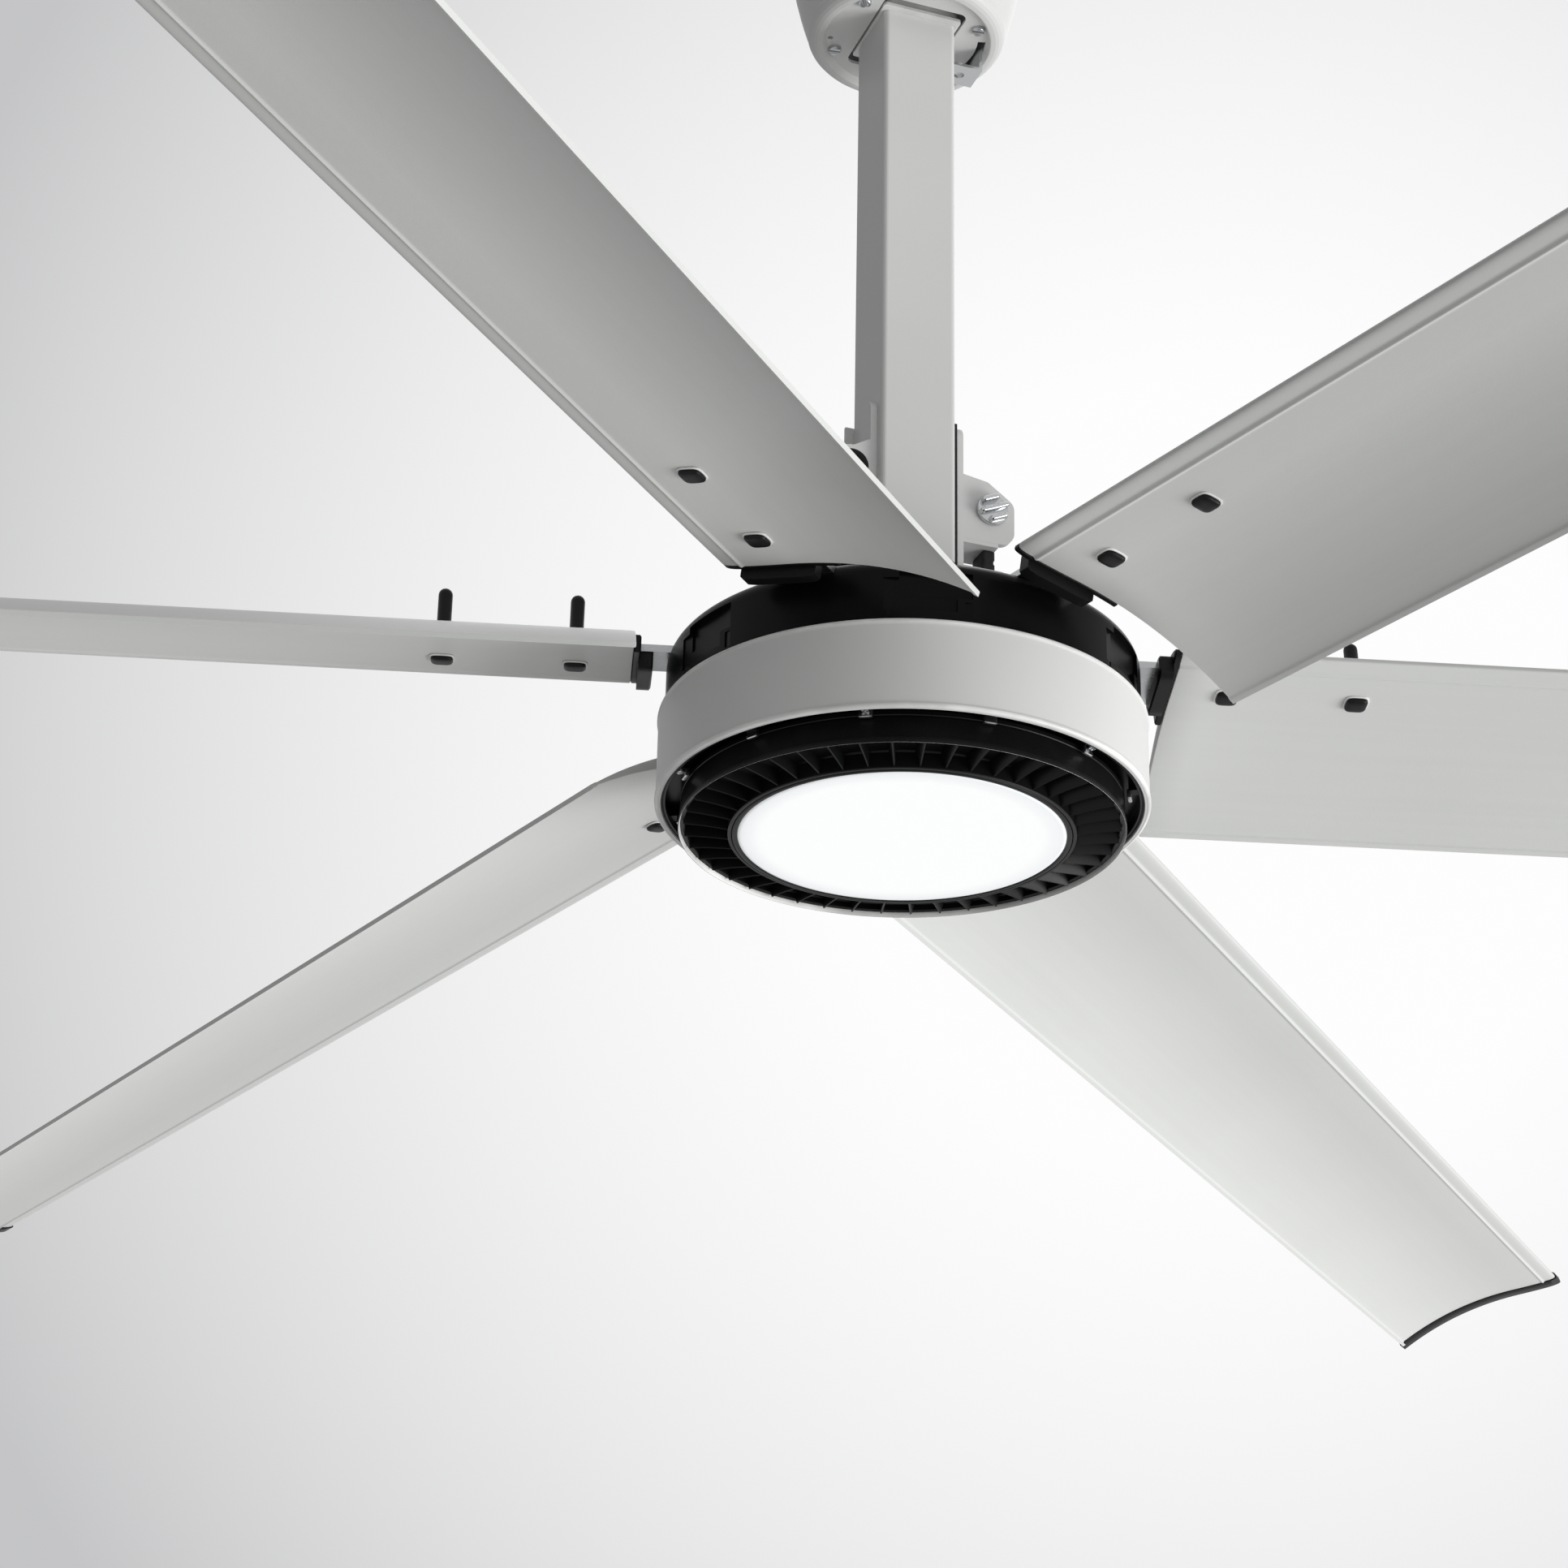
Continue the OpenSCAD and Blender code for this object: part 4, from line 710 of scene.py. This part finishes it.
class FAN_OT_blade_ends(Operator):
    """Black plugs in the blades' roots and black caps on their tips"""

    bl_idname = "fan.blade_ends"
    bl_label = "Blade ends"

    def execute(self, context):
        s = context.scene.fan_blades
        shape = BladeShape(s)
        roots, tips = Shells(), Shells()
        stand, block = s.root_r - s.plug_out, s.root_r - s.block_out
        tail_wall, cap_wall = 1.65 * MM, 1.0 * MM
        half_width, half_height, block_middle = 21.5 * MM, 6.8 * MM, [-5 * MM, -4.9 * MM]
        block_outline = (bar_outline(half_width, half_height, 9.0)(0.0) + block_middle)[::-1]
        solids = (
            (roots, shape.outline(0.0, s.cavity_end, -GAP),
             [*near(stand, 0.0, (0, 0.8), (0.8, 0)), *near(s.root_r, 0.0, (-0.6, 0), (-0.1, 0.6))]),
            (roots, block_outline, [*near(block, 0.0, (0, 0.9), (0.9, 0)), (stand + 0.9 * MM, 0.0)]),
            (roots, shape.outline(s.web_end, s.tail_plug_end, -tail_wall),
             near(s.root_r, 0.0, (0.5, 0.1), (12, 0.1))),
            (tips, shape.outline(0.0, 1.0, cap_wall),
             [*near(s.tip_r - s.cap_sleeve, 0.0, (0, 0.3), (0.4, 0)),
              *near(s.tip_r, 0.0, (-2.2, 0), (-0.9, 0.5), (0, 1.6))]))
        for n in range(s.count):
            for shells, outline, stations in solids:
                shape.length(shells, outline, stations, shape.place(n))
        roots.piece("root_plugs", "black_plastic", "rotor", "root_inserts")
        tips.piece("tip_plugs", "black_plastic", "rotor", "tip_caps")
        return {"FINISHED"}


class FAN_OT_blade_bolts(Operator):
    """Rounded square bolt heads under the blades, pale rings round them as a painted highlight, washers and
    capped bolt ends on top
    """

    bl_idname = "fan.blade_bolts"
    bl_label = "Blade bolts"

    def execute(self, context):
        s = context.scene.fan_blades
        shape = BladeShape(s)
        heads, washers, caps, highlight_rings = Shells(), Shells(), Shells(), Shells()
        head, washer = bar_outline(s.bolt_head / 2, s.bolt_head / 2, 4.0), round_outline(6 * MM)
        head_levels = in_mm((0, 0.3), (0.35, 0), (1.5, 0), (2.1, 0.35), (2.6, 1.1), (2.9, 2.2), (3.05, 3.6),
                            (3.1, 5.2))
        cap_r, cap_top = 3.9 * MM, s.cap_rise - 0.8 * MM
        dome = [(cap_top - cap_r * (1 - math.sin(v)), cap_r * (1 - math.cos(v)))
                for v in np.linspace(0, math.pi / 2, 7)[:-1]]
        cap_levels = [*in_mm((1.1, -1.6), (1.7, -1.5), (2.2, -0.5), (3, 0)), *dome, (cap_top, cap_r * 0.985)]
        for n in range(s.count):
            for x in (s.root_r + s.bolt_in, s.root_r + s.bolt_in + s.bolt_step):
                at = shape.place(n) @ shift(x=x)
                below = at @ shift(z=-s.thickness / 2 - 2 * GAP) @ spin("X", math.pi)
                above = at @ shift(z=s.thickness / 2 + GAP)
                stack(heads, head, head_levels, below)
                # a thin pale ring round each head: a painted highlight of the head's rim
                stack(highlight_rings, head, in_mm((-0.15, -0.9), (0.35, -0.9), (0.6, -0.6)), below)
                stack(washers, washer, in_mm((0, 0), (0.9, 0), (1.2, 0.3)), above)
                stack(caps, round_outline(cap_r), cap_levels, above)
        heads.piece("blade_bolt_heads", "black_plastic", "rotor", "blade_bolts")
        washers.piece("blade_bolt_washers", "bright", "rotor")
        highlight_rings.piece("blade_bolt_frames", "white_plastic", "rotor")
        caps.piece("blade_bolt_caps", "black_plastic", "rotor", "bolt_caps")
        return {"FINISHED"}


class FAN_OT_drum(Operator):
    """White drum band with a rolled bead round both rims, and the hem and lugs in the gap under it"""

    bl_idname = "fan.drum"
    bl_label = "Drum band"

    def execute(self, context):
        d = context.scene.fan_drum
        at = shift(z=FACE_Z)
        outer, inner = d.radius, d.radius - d.wall
        low, top = d.low, d.low + d.height
        reach = 1.5 * d.bead

        def bead(middle, start, end, grow=1.0):
            """An arc of the rolled bead, from start to end degrees, about a middle height."""
            a = np.radians(np.linspace(start, end, 13))
            arc = np.column_stack([np.cos(a), np.sin(a)]) * reach * grow
            return arc + [outer - d.bead, middle]

        side = np.linspace(low + 3.2 * d.bead, top - 3.2 * d.bead, 6)
        profile = np.vstack([
            near(inner, low - d.bead / 2, (0, 0.4), (0.4, 0)),
            bead(low + d.bead, -90, 42), [[outer, low + 2.6 * d.bead]],
            np.column_stack([np.full(len(side), outer), side]),
            [[outer, top - 2.6 * d.bead]], bead(top - d.bead, -42, 90),
            near(inner, top + d.bead / 2, (0.4, 0), (0, -0.4))])
        lathe(Shells(), profile, DRUM_STEPS, at).piece("drum_shell", "white_paint", "rotor", "drum_band")

        # a paler white skin over both rim beads: a painted highlight along the rims
        beads = Shells()
        for arc in ((low + d.bead, -95, 20), (top - d.bead, -20, 95)):
            skin, core = bead(*arc, 1 + 0.12 * MM / reach), bead(*arc, 0.8)
            lathe(beads, np.vstack([skin, core[::-1]]), DRUM_STEPS, at)
        beads.piece("drum_beads", "white_plastic", "rotor")

        hem = near(inner, low, (-2.6, 2.8), (-2.6, 1.2), (-2.2, 0.6), (-1.4, 0.45), (-0.8, 0.8), (-0.6, 1.4),
                   (-0.6, 2.8))
        lathe(Shells(), hem, DRUM_STEPS, at).piece("cover_hem", "black_plastic", "rotor")

        lugs = Shells()
        lug = bar_outline(1.2 * MM, 3.5 * MM, 7.0)
        for k in range(d.lugs):
            turn = context.scene.fan_blades.first_turn + TAU / d.lugs * (k + 0.5)
            stack(lugs, lug, in_mm((-1.3, 0.5), (-0.9, 0), (3.6, 0), (4, 0.3)),
                  at @ spin("Z", turn) @ shift(x=d.trim_r + 2 * MM, z=low))
        lugs.piece("cover_lugs", "zinc", "rotor")
        return {"FINISHED"}


class FAN_OT_light(Operator):
    """Light under the drum: finned front ring, its thin white edge, the bezel and the lit lens"""

    bl_idname = "fan.light"
    bl_label = "Light"

    def execute(self, context):
        d = context.scene.fan_drum
        at, lower = shift(z=FACE_Z), shift(z=FACE_Z - d.proud)
        self.fin_ring(d, at)
        edge = near(d.trim_r, 0.0, (-1.15, 2.5), (-1.15, 1.9), (-0.42, -0.16), (-0.35, -0.24), (-0.27, -0.16),
                    (-0.27, 2.5))
        lathe(Shells(), edge, LIGHT_STEPS, at).piece("light_edge", "white_plastic", "rod", "trim_edge")

        a = np.linspace(-math.pi * 0.95, 0.0, 8)
        half, outer = d.bezel_w / 2, d.lens_r + d.bezel_w
        lip = np.column_stack([outer - half + half * np.cos(a), 0.75 * MM + 0.7 * MM * np.sin(a)])
        bezel = np.vstack([lip, near(outer, d.lens_t, (0, 1), (-1.2, 1)), near(outer, 0.0, (-1.2, 0.8)),
                           near(d.lens_r, 0.0, (0, 0.8))])
        lathe(Shells(), bezel, LIGHT_STEPS, lower).piece("light_bezel", "black_plastic", "rod", "lens_bezel")

        lens_levels = [*in_mm((0.35, 26), (0.25, 9), (0.2, 2), (0.3, 0.5), (0.7, 0), (0.9, 0), (1, -1.4)),
                       *near(d.lens_t, 0.0, (0.8, -1.4))]
        lens = stack(Shells(), round_outline(d.lens_r - GAP, 160), lens_levels, lower)
        lens.piece("light_lens", "lens", "rod", "lens")
        return {"FINISHED"}

    def fin_ring(self, d, at):
        """The turned front ring with its trough, and in the trough the slanting fins, whose crest
        is a straight line with a half sine on it."""
        seat = d.lens_r + d.bezel_w + 0.3 * MM
        trough, out, skirt = seat + 2 * MM, d.trim_r - 3 * MM, d.trim_r - 0.8 * MM
        shelf = 1.3 * MM + d.lens_t - d.proud
        depth = d.fin_depth
        profile = [
            *near(seat, shelf, (-7, 0), (0, 0)), *near(seat, -d.proud, (0, 0.7), (0.3, 0.4)),
            *near(trough, -d.proud, (-0.5, 0.4), (0, 0.9)), *near(trough, depth, (0, -0.8), (0.8, 0)),
            *near(out, depth, (-1.4, 0), (-0.6, -0.8)), *near(out, 0.0, (-0.6, 3), (0, 2.6)),
            *near(d.trim_r, 0.0, (-0.25, 2.6), (-0.25, -0.1), (-0.17, -0.26), (-0.06, -0.14), (0, 0.9)),
            *near(skirt, 0.0, (0.5, 2.6), (0, 3.6)),
            *near(skirt, d.trim_h, (0, -4), (-0.35, -3.6), (-0.35, -3), (0, -2.6), (0, -0.5), (-0.5, 0)),
            *near(out, d.trim_h, (0, 0)), *near(out, depth, (0, 2)), *near(seat, depth, (0, 2)),
            *near(seat, shelf, (0, 2), (-7, 2))]
        ring = lathe(Shells(), profile, LIGHT_STEPS, at)

        along = np.linspace(0, 1, 7)
        x = trough - 0.2 * MM + (out - trough + 0.3 * MM) * along
        crest = 0.55 * MM - d.proud * 0.8 * (1 - along) + 0.4 * MM * np.sin(math.pi * along)
        foot, shoulder, half = depth + 0.2 * MM, 0.35 * MM, d.fin_t / 2
        fin = [[(r, -half - 2.2 * MM, foot), (r, -half * 0.7, low + shoulder), (r, 0.0, low),
                (r, half * 0.7, low + shoulder), (r, half, depth * 0.5), (r, half + 0.2 * MM, foot)]
               for r, low in zip(x, crest)]
        for k in range(d.fins):
            ring.rings(fin, at @ spin("Z", TAU / d.fins * k))
        ring.piece("light_fins", "black_plastic", "rod", "fin_ring")


def threaded(shells, radius, pitch, low, high, place, count=20):
    """A threaded rod: the radius falls by a part of the pitch as a zigzag of height less turn."""
    rows = max(4, int((high - low) / pitch * 4))
    z = np.linspace(low, high, rows + 1)[:, None]
    t = np.arange(count) * TAU / count
    phase = (z / pitch - t / TAU) % 1.0
    r = radius - 0.3 * pitch * np.abs(2 * phase - 1)
    r[0] = r[-1] = radius - 0.45 * pitch
    shells.rings(np.stack([r * np.cos(t), r * np.sin(t), z + 0 * t], -1), place)


def plain_rod(shells, radius, low, high, place):
    """A smooth rod with a small chamfer at both ends."""
    edge = radius * 0.12
    return stack(shells, round_outline(radius), [(low, edge), (low + edge, 0.0), (high - edge, 0.0),
                                                 (high, edge)], place)


def hex_block(shells, radius, low, high, place, flange=0.0):
    """A hexagon whose corners are cut by a chamfer at both ends, on a round flange if asked."""
    cut = radius * 0.10
    start = low
    if flange:
        thick = (high - low) * 0.24
        stack(shells, round_outline(flange, 32), [(low, 0.0), (low + thick * 0.5, 0.0),
                                                  (low + thick, (flange - radius) + cut)], place)
        start = low + thick * 0.7
    stack(shells, hex_outline(radius), [(start, cut), (start + cut * 0.6, 0.0), (high - cut * 0.6, 0.0),
                                        (high, cut)], place)
    face = [(high - cut, 0.0), (high + cut * 0.25, cut * 0.5)]
    stack(shells, round_outline(radius * 0.82, 32), face, place)


def slotted_head(shells, radius, height, slot, place):
    """A domed screw head: a low disc, and on it two halves of a dome that leave a slot between."""
    floor = height * 0.42
    stack(shells, round_outline(radius, 32), [(0.0, 0.0), (floor * 0.6, 0.0), (floor, radius * 0.05)], place)
    dome = [(floor * 0.9, radius * 0.04), (height * 0.72, radius * 0.12), (height * 0.92, radius * 0.34),
            (height, radius * 0.7)]
    for turn in (0.0, math.pi):
        stack(shells, moon_outline(radius, slot / 2), dome, place @ spin("Z", turn))


class FAN_OT_hardware(Operator):
    """Bolts, nuts, knob, bush and buffers of the hanger and the yoke, with threads and chamfers"""

    bl_idname = "fan.hardware"
    bl_label = "Hardware"

    def execute(self, context):
        h = context.scene.fan_hardware
        self.hanger(h)
        self.cross(h)
        self.foot(h)
        self.knob(h)
        self.soft_parts(h)
        self.screws(h, context.scene.fan_drum, context.scene.fan_blades)
        return {"FINISHED"}

    def hanger(self, h):
        """Hanger bolt along X with its head on the left, and its nut on a washer."""
        along = shift(z=-h.hinge_drop) @ spin("Y", math.pi / 2)
        r, out, hexagon = h.hanger_r, h.ear_out, h.hex_share * h.hanger_r
        thread = out - 1 * MM
        bolt = plain_rod(Shells(), r, -out - 0.5 * MM, thread, along)
        threaded(bolt, r, 1.5 * MM, thread, out + 2 * MM + 1.5 * r, along)
        hex_block(bolt, hexagon, out + GAP, out + GAP + 1.3 * r, along @ spin("Y", math.pi))
        bolt.piece("hanger_bolt_threaded", "zinc", "ceiling_mount", "hanger_bolt")
        nut = stack(Shells(), round_outline(2 * r, 40), near(out, 0.0, (0.1, 0), (1.3, 0), (1.6, 0.3)), along)
        seat = out + 1.6 * MM
        hex_block(nut, hexagon, seat, seat + 1.45 * r, along)
        nut.piece("hanger_nut_washer", "zinc", "ceiling_mount", "hanger_nut")

    def cross(self, h):
        """Cross bolt through the tube's foot, and the flanged nuts of it and of the knob's stud."""
        along = shift(y=h.cross_y, z=FOOT_Z + h.cross_z) @ spin("Y", math.pi / 2)
        r, hexagon = h.cross_r, h.hex_share * h.cross_r
        flange, thread = 1.16 * hexagon, h.yoke_right - 1 * MM
        bolt = plain_rod(Shells(), r, -h.yoke_left - 0.5 * MM, thread, along)
        threaded(bolt, r, 1.0 * MM, thread, h.yoke_right + h.nut_t + 2.5 * MM, along)
        hex_block(bolt, hexagon, h.yoke_left, h.yoke_left + 1.4 * r, along @ spin("Y", math.pi), flange)
        bolt.piece("cross_bolt_threaded", "bright", "rod", "cross_bolt")
        nuts = Shells()
        base = h.yoke_right + GAP
        hex_block(nuts, hexagon, base, base + h.nut_t, along, flange)
        stud = shift(x=h.stud_x, y=h.ear_back, z=FOOT_Z + h.stud_z) @ spin("X", -math.pi / 2)
        hex_block(nuts, hexagon, GAP, h.nut_t, stud, flange)
        nuts.piece("flanged_nuts", "bright", "rod", "yoke_nuts")

    def foot(self, h):
        """Two bolts that come up through the coupling's bar and the brackets' feet."""
        bolts = Shells()
        r, hexagon = h.cross_r, h.hex_share * h.cross_r
        low, thread, nut, high = -10 * MM, 2 * MM, 3.1 * MM, 11 * MM
        head_face, head_top = 6.9 * MM, 10.8 * MM
        for x in (h.foot_x, -h.foot_x - GAP):
            at = shift(x=x, y=h.foot_y, z=FOOT_Z)
            plain_rod(bolts, r, low, thread, at)
            threaded(bolts, r, 1.0 * MM, thread, high, at)
            hex_block(bolts, hexagon, nut, nut + h.nut_t, at, 1.08 * hexagon)
            hex_block(bolts, hexagon, head_face, head_top, at @ spin("X", math.pi))
        bolts.piece("foot_bolts_threaded", "bright", "rod", "foot_bolts")

    def knob(self, h):
        """Round knob: a dished disc with three slanting rounded bars across its face, on a stud."""
        at = shift(x=h.stud_x, y=h.ear_front, z=FOOT_Z + h.stud_z) @ spin("X", math.pi / 2)
        disc = in_mm((0.1, 0.7), (0.6, 0.1), (1.2, 0), (2.3, 0), (2.8, 0.3), (3, 0.9))
        knob = stack(Shells(), round_outline(h.knob_r, 56), disc, at)
        half, step, slant = 1.6 * MM, 6 * MM, math.radians(24)
        for offset in (-step, 0.0, step):
            reach = math.sqrt(h.knob_r ** 2 - (abs(offset) + half) ** 2)
            stack(knob, bar_outline(reach, half, 5.0), in_mm((2.7, -0.1), (5.8, 0), (6.6, 0.35), (7, 0.9)),
                  at @ spin("Z", slant) @ shift(y=offset))
        threaded(knob, h.cross_r, pitch=1 * MM, low=-11 * MM, high=-4.5 * MM, place=at)
        plain_rod(knob, h.cross_r, low=-4.7 * MM, high=1 * MM, place=at)
        knob.piece("ribbed_knob", "bright", "rod", "clamp_knob")

    def soft_parts(self, h):
        """Black bush with rolled lips in the hooked ear, and the two rubber buffers on the feet. The
        bush's section is a superellipse that two bell curves pinch at its outer side."""
        a = np.linspace(0, TAU, 28, endpoint=False)
        across, up = (np.sign(v) * np.abs(v) ** 0.7 for v in (np.cos(a), np.sin(a)))
        pinch = 1 - 0.42 * (np.exp(-(a / 0.30) ** 2) + np.exp(-((a - TAU) / 0.30) ** 2))
        wall, thick = (h.bush_r + h.bush_lip - h.eye_r) / 2, 2.9 * MM
        profile = np.column_stack([h.eye_r + wall + wall * pinch * across, thick + thick * up])
        at = shift(x=-h.eye_x, y=h.bush_top, z=FOOT_Z + h.eye_z) @ spin("X", math.pi / 2)
        lathe(Shells(), profile, 72, at).piece("eye_bush_rolled", "black_plastic", "rod", "eye_bush")

        blocks = Shells()
        soft, groove, waist = 0.7, 0.8, 0.5
        # place, half widths, bottom and top of each block in millimetres
        for x, y, half_x, half_y, low, high in ((46.75, -3.95, 3.75, 7.95, 3.1, 17.4),
                                                (-47.25, -3.9, 2.25, 7.0, 3.1, 12.1)):
            middle = (low + high) / 2
            rise = in_mm((low, soft), (low + soft, 0), (middle - 2 * groove, 0), (middle - groove, waist),
                         (middle + groove, waist), (middle + 2 * groove, 0), (high - soft, 0), (high, soft))
            stack(blocks, bar_outline(half_x * MM, half_y * MM, 9.0), rise, shift(x * MM, y * MM, FOOT_Z))
        blocks.piece("rubber_buffers", "rubber", "rod", "buffer_blocks")

    def screws(self, h, d, s):
        """Slotted screws under the canopy and the strap, and those under the drum's tabs."""
        canopy, covers = Shells(), Shells()
        upside_down = spin("X", math.pi)
        for degrees in (34, 146, 214, 326):
            at = (spin("Z", math.radians(degrees)) @ shift(x=h.stud_ring, z=h.mouth_z - GAP) @ upside_down
                  @ spin("Z", math.radians(-25)))
            slotted_head(canopy, radius=4 * MM, height=2.5 * MM, slot=1.2 * MM, place=at)
            threaded(canopy, radius=2 * MM, pitch=0.8 * MM, low=-14 * MM, high=0.2 * MM, place=at)
        strap = shift(h.strap_x - 5 * MM, 1 * MM, -h.plate_t - 2 * MM - GAP) @ upside_down
        slotted_head(canopy, radius=3.6 * MM, height=2.5 * MM, slot=1 * MM, place=strap)
        plain_rod(canopy, radius=1.8 * MM, low=-2 * MM, high=0.2 * MM, place=strap)
        canopy.piece("slotted_screws", "zinc", "ceiling_mount", "canopy_screws")
        tab = shift(x=d.radius - d.wall - 4.3 * MM, z=FACE_Z + 16.9 * MM) @ upside_down
        for k in range(6):
            at = spin("Z", s.first_turn + math.radians(15 + 60 * k)) @ tab
            slotted_head(covers, radius=2.1 * MM, height=1.8 * MM, slot=0.7 * MM, place=at)
            plain_rod(covers, radius=1.5 * MM, low=-58 * MM, high=0.2 * MM, place=at)
        covers.piece("drum_screws", "zinc", "rotor", "cover_screws")


class FAN_OT_frame_finishes(Operator):
    """Gives every carried-over node of the frame its own finish"""

    bl_idname = "fan.frame_finishes"
    bl_label = "Frame finishes"

    def execute(self, context):
        slots = {row["node"]: row["material_slot"] for row in frame["record"]["subparts"]}
        for name, node in frame["nodes"].items():
            for slot in node.material_slots:
                slot.material = material(slots[name])
        return {"FINISHED"}


class FAN_OT_studio(Operator):
    """Pale floor, backdrop, soft lamps and the camera"""

    bl_idname = "fan.studio"
    bl_label = "Studio"

    def execute(self, context):
        st = context.scene.fan_studio
        ground = Finish("floor_grey", (0.80, 0.80, 0.79), 0.6)
        ground.set("Base Color", ground.tint(ground.noise(3.0, 4.0, 0.6), 0.03))
        disc = stack(Shells(), round_outline(st.floor_r, 64), in_mm((-50, 0), (0, 20)), shift(z=st.floor_z))
        disc.model("floor", ground.material)
        self.sky(context.scene, st)
        self.lamp("key_lamp", st.key_place, st.key_width, st.key_watts)
        self.lamp("top_lamp", st.top_place, st.top_width, st.top_watts)
        self.camera(context.scene, st)
        context.scene.view_settings.view_transform = "Standard"
        return {"FINISHED"}

    def sky(self, scene, st):
        """World light: it rises from the dim side to the bright side. Camera, glossy and transmitted
        rays see a pale backdrop instead, which is brightest at one spot."""
        world = bpy.data.worlds.new("studio")
        world.use_nodes = True
        scene.world = world
        sky = Nodes(world.node_tree)
        view = sky.node("ShaderNodeTexCoord", {}, out="Generated")

        def towards(axis, low, high):
            """0 where a direction's share of the axis is low, 1 where it is high, straight between."""
            axis = np.array(axis) / np.linalg.norm(axis)
            return sky.node("ShaderNodeVectorMath", {"operation": "DOT_PRODUCT"}, view, axis,
                            out="Value").above(low, high)

        glow = sky.mix(towards(st.light_from, -1.0, 1.0), tuple(st.dim_side), tuple(st.bright_side))
        # shares of the bright spot's direction between which each change of the backdrop lies
        spot_edge, front_edge = (0.915, 0.993), (0.70, 0.89)
        bright = towards(st.bright_spot, *spot_edge)
        front = sky.mix(bright, tuple(st.backdrop_shade), tuple(st.backdrop))
        behind = 1.0 - towards(st.bright_spot, *front_edge)
        backdrop = sky.mix(behind, front, tuple(st.backdrop_behind))
        kinds = ("Is Camera Ray", "Is Glossy Ray", "Is Transmission Ray")
        direct, glossy, clear = (sky.node("ShaderNodeLightPath", {}, out=kind) for kind in kinds)
        seen = sky.math("MAXIMUM", sky.math("MAXIMUM", direct, glossy), clear)
        sky.fill(world.node_tree.nodes["Background"].inputs["Color"], sky.mix(seen, glow, backdrop))

    def lamp(self, name, place, width, watts):
        """A square area lamp that faces the light's middle."""
        data = bpy.data.lights.new(name, "AREA")
        data.shape, data.size, data.energy = "SQUARE", width, watts
        made = bpy.data.objects.new(name, data)
        made.location = place
        away = np.subtract(place, (0.0, 0.0, FACE_Z))
        away = away / np.linalg.norm(away)
        made.rotation_euler = (math.acos(away[2]), 0.0, math.atan2(away[1], away[0]) + math.pi / 2)
        made.visible_camera = False
        bpy.context.scene.collection.objects.link(made)

    def camera(self, scene, st):
        """The camera of the photograph's view."""
        data = bpy.data.cameras.new("camera")
        data.lens, data.sensor_width = st.focal, 36.0
        data.clip_start, data.clip_end = 0.05, 60.0
        camera = bpy.data.objects.new("camera", data)
        camera.location = st.eye
        camera.rotation_euler = [math.radians(v) for v in st.turn]
        scene.collection.objects.link(camera)
        scene.camera = camera


STEPS = (FAN_OT_frame_finishes, FAN_OT_blades, FAN_OT_blade_ends, FAN_OT_blade_bolts, FAN_OT_drum,
         FAN_OT_light, FAN_OT_hardware, FAN_OT_studio)


class FAN_PT_sidebar(Panel):
    """Lists the sizes and the pieces in the sidebar"""

    bl_idname = "FAN_PT_sidebar"
    bl_label = "Ceiling Fan"
    bl_space_type = "VIEW_3D"
    bl_region_type = "UI"
    bl_category = "Ceiling Fan"

    def draw(self, context):
        for step in STEPS:
            self.layout.operator(step.bl_idname)
        for key in GROUPS:
            box = self.layout.box()
            for prop in GROUPS[key].__annotations__:
                box.prop(getattr(context.scene, key), prop)


def register():
    for group in GROUPS.values():
        bpy.utils.register_class(group)
    for key, group in GROUPS.items():
        setattr(bpy.types.Scene, key, PointerProperty(type=group))
    for step in STEPS:
        bpy.utils.register_class(step)
    bpy.utils.register_class(FAN_PT_sidebar)


def unregister():
    bpy.utils.unregister_class(FAN_PT_sidebar)
    for step in reversed(STEPS):
        bpy.utils.unregister_class(step)
    for key, group in GROUPS.items():
        delattr(bpy.types.Scene, key)
        bpy.utils.unregister_class(group)


def main():
    """Builds the whole fan in order."""
    register()
    for step in STEPS:
        getattr(bpy.ops.fan, step.bl_idname.removeprefix("fan."))()


if __name__ == "__main__":
    main()
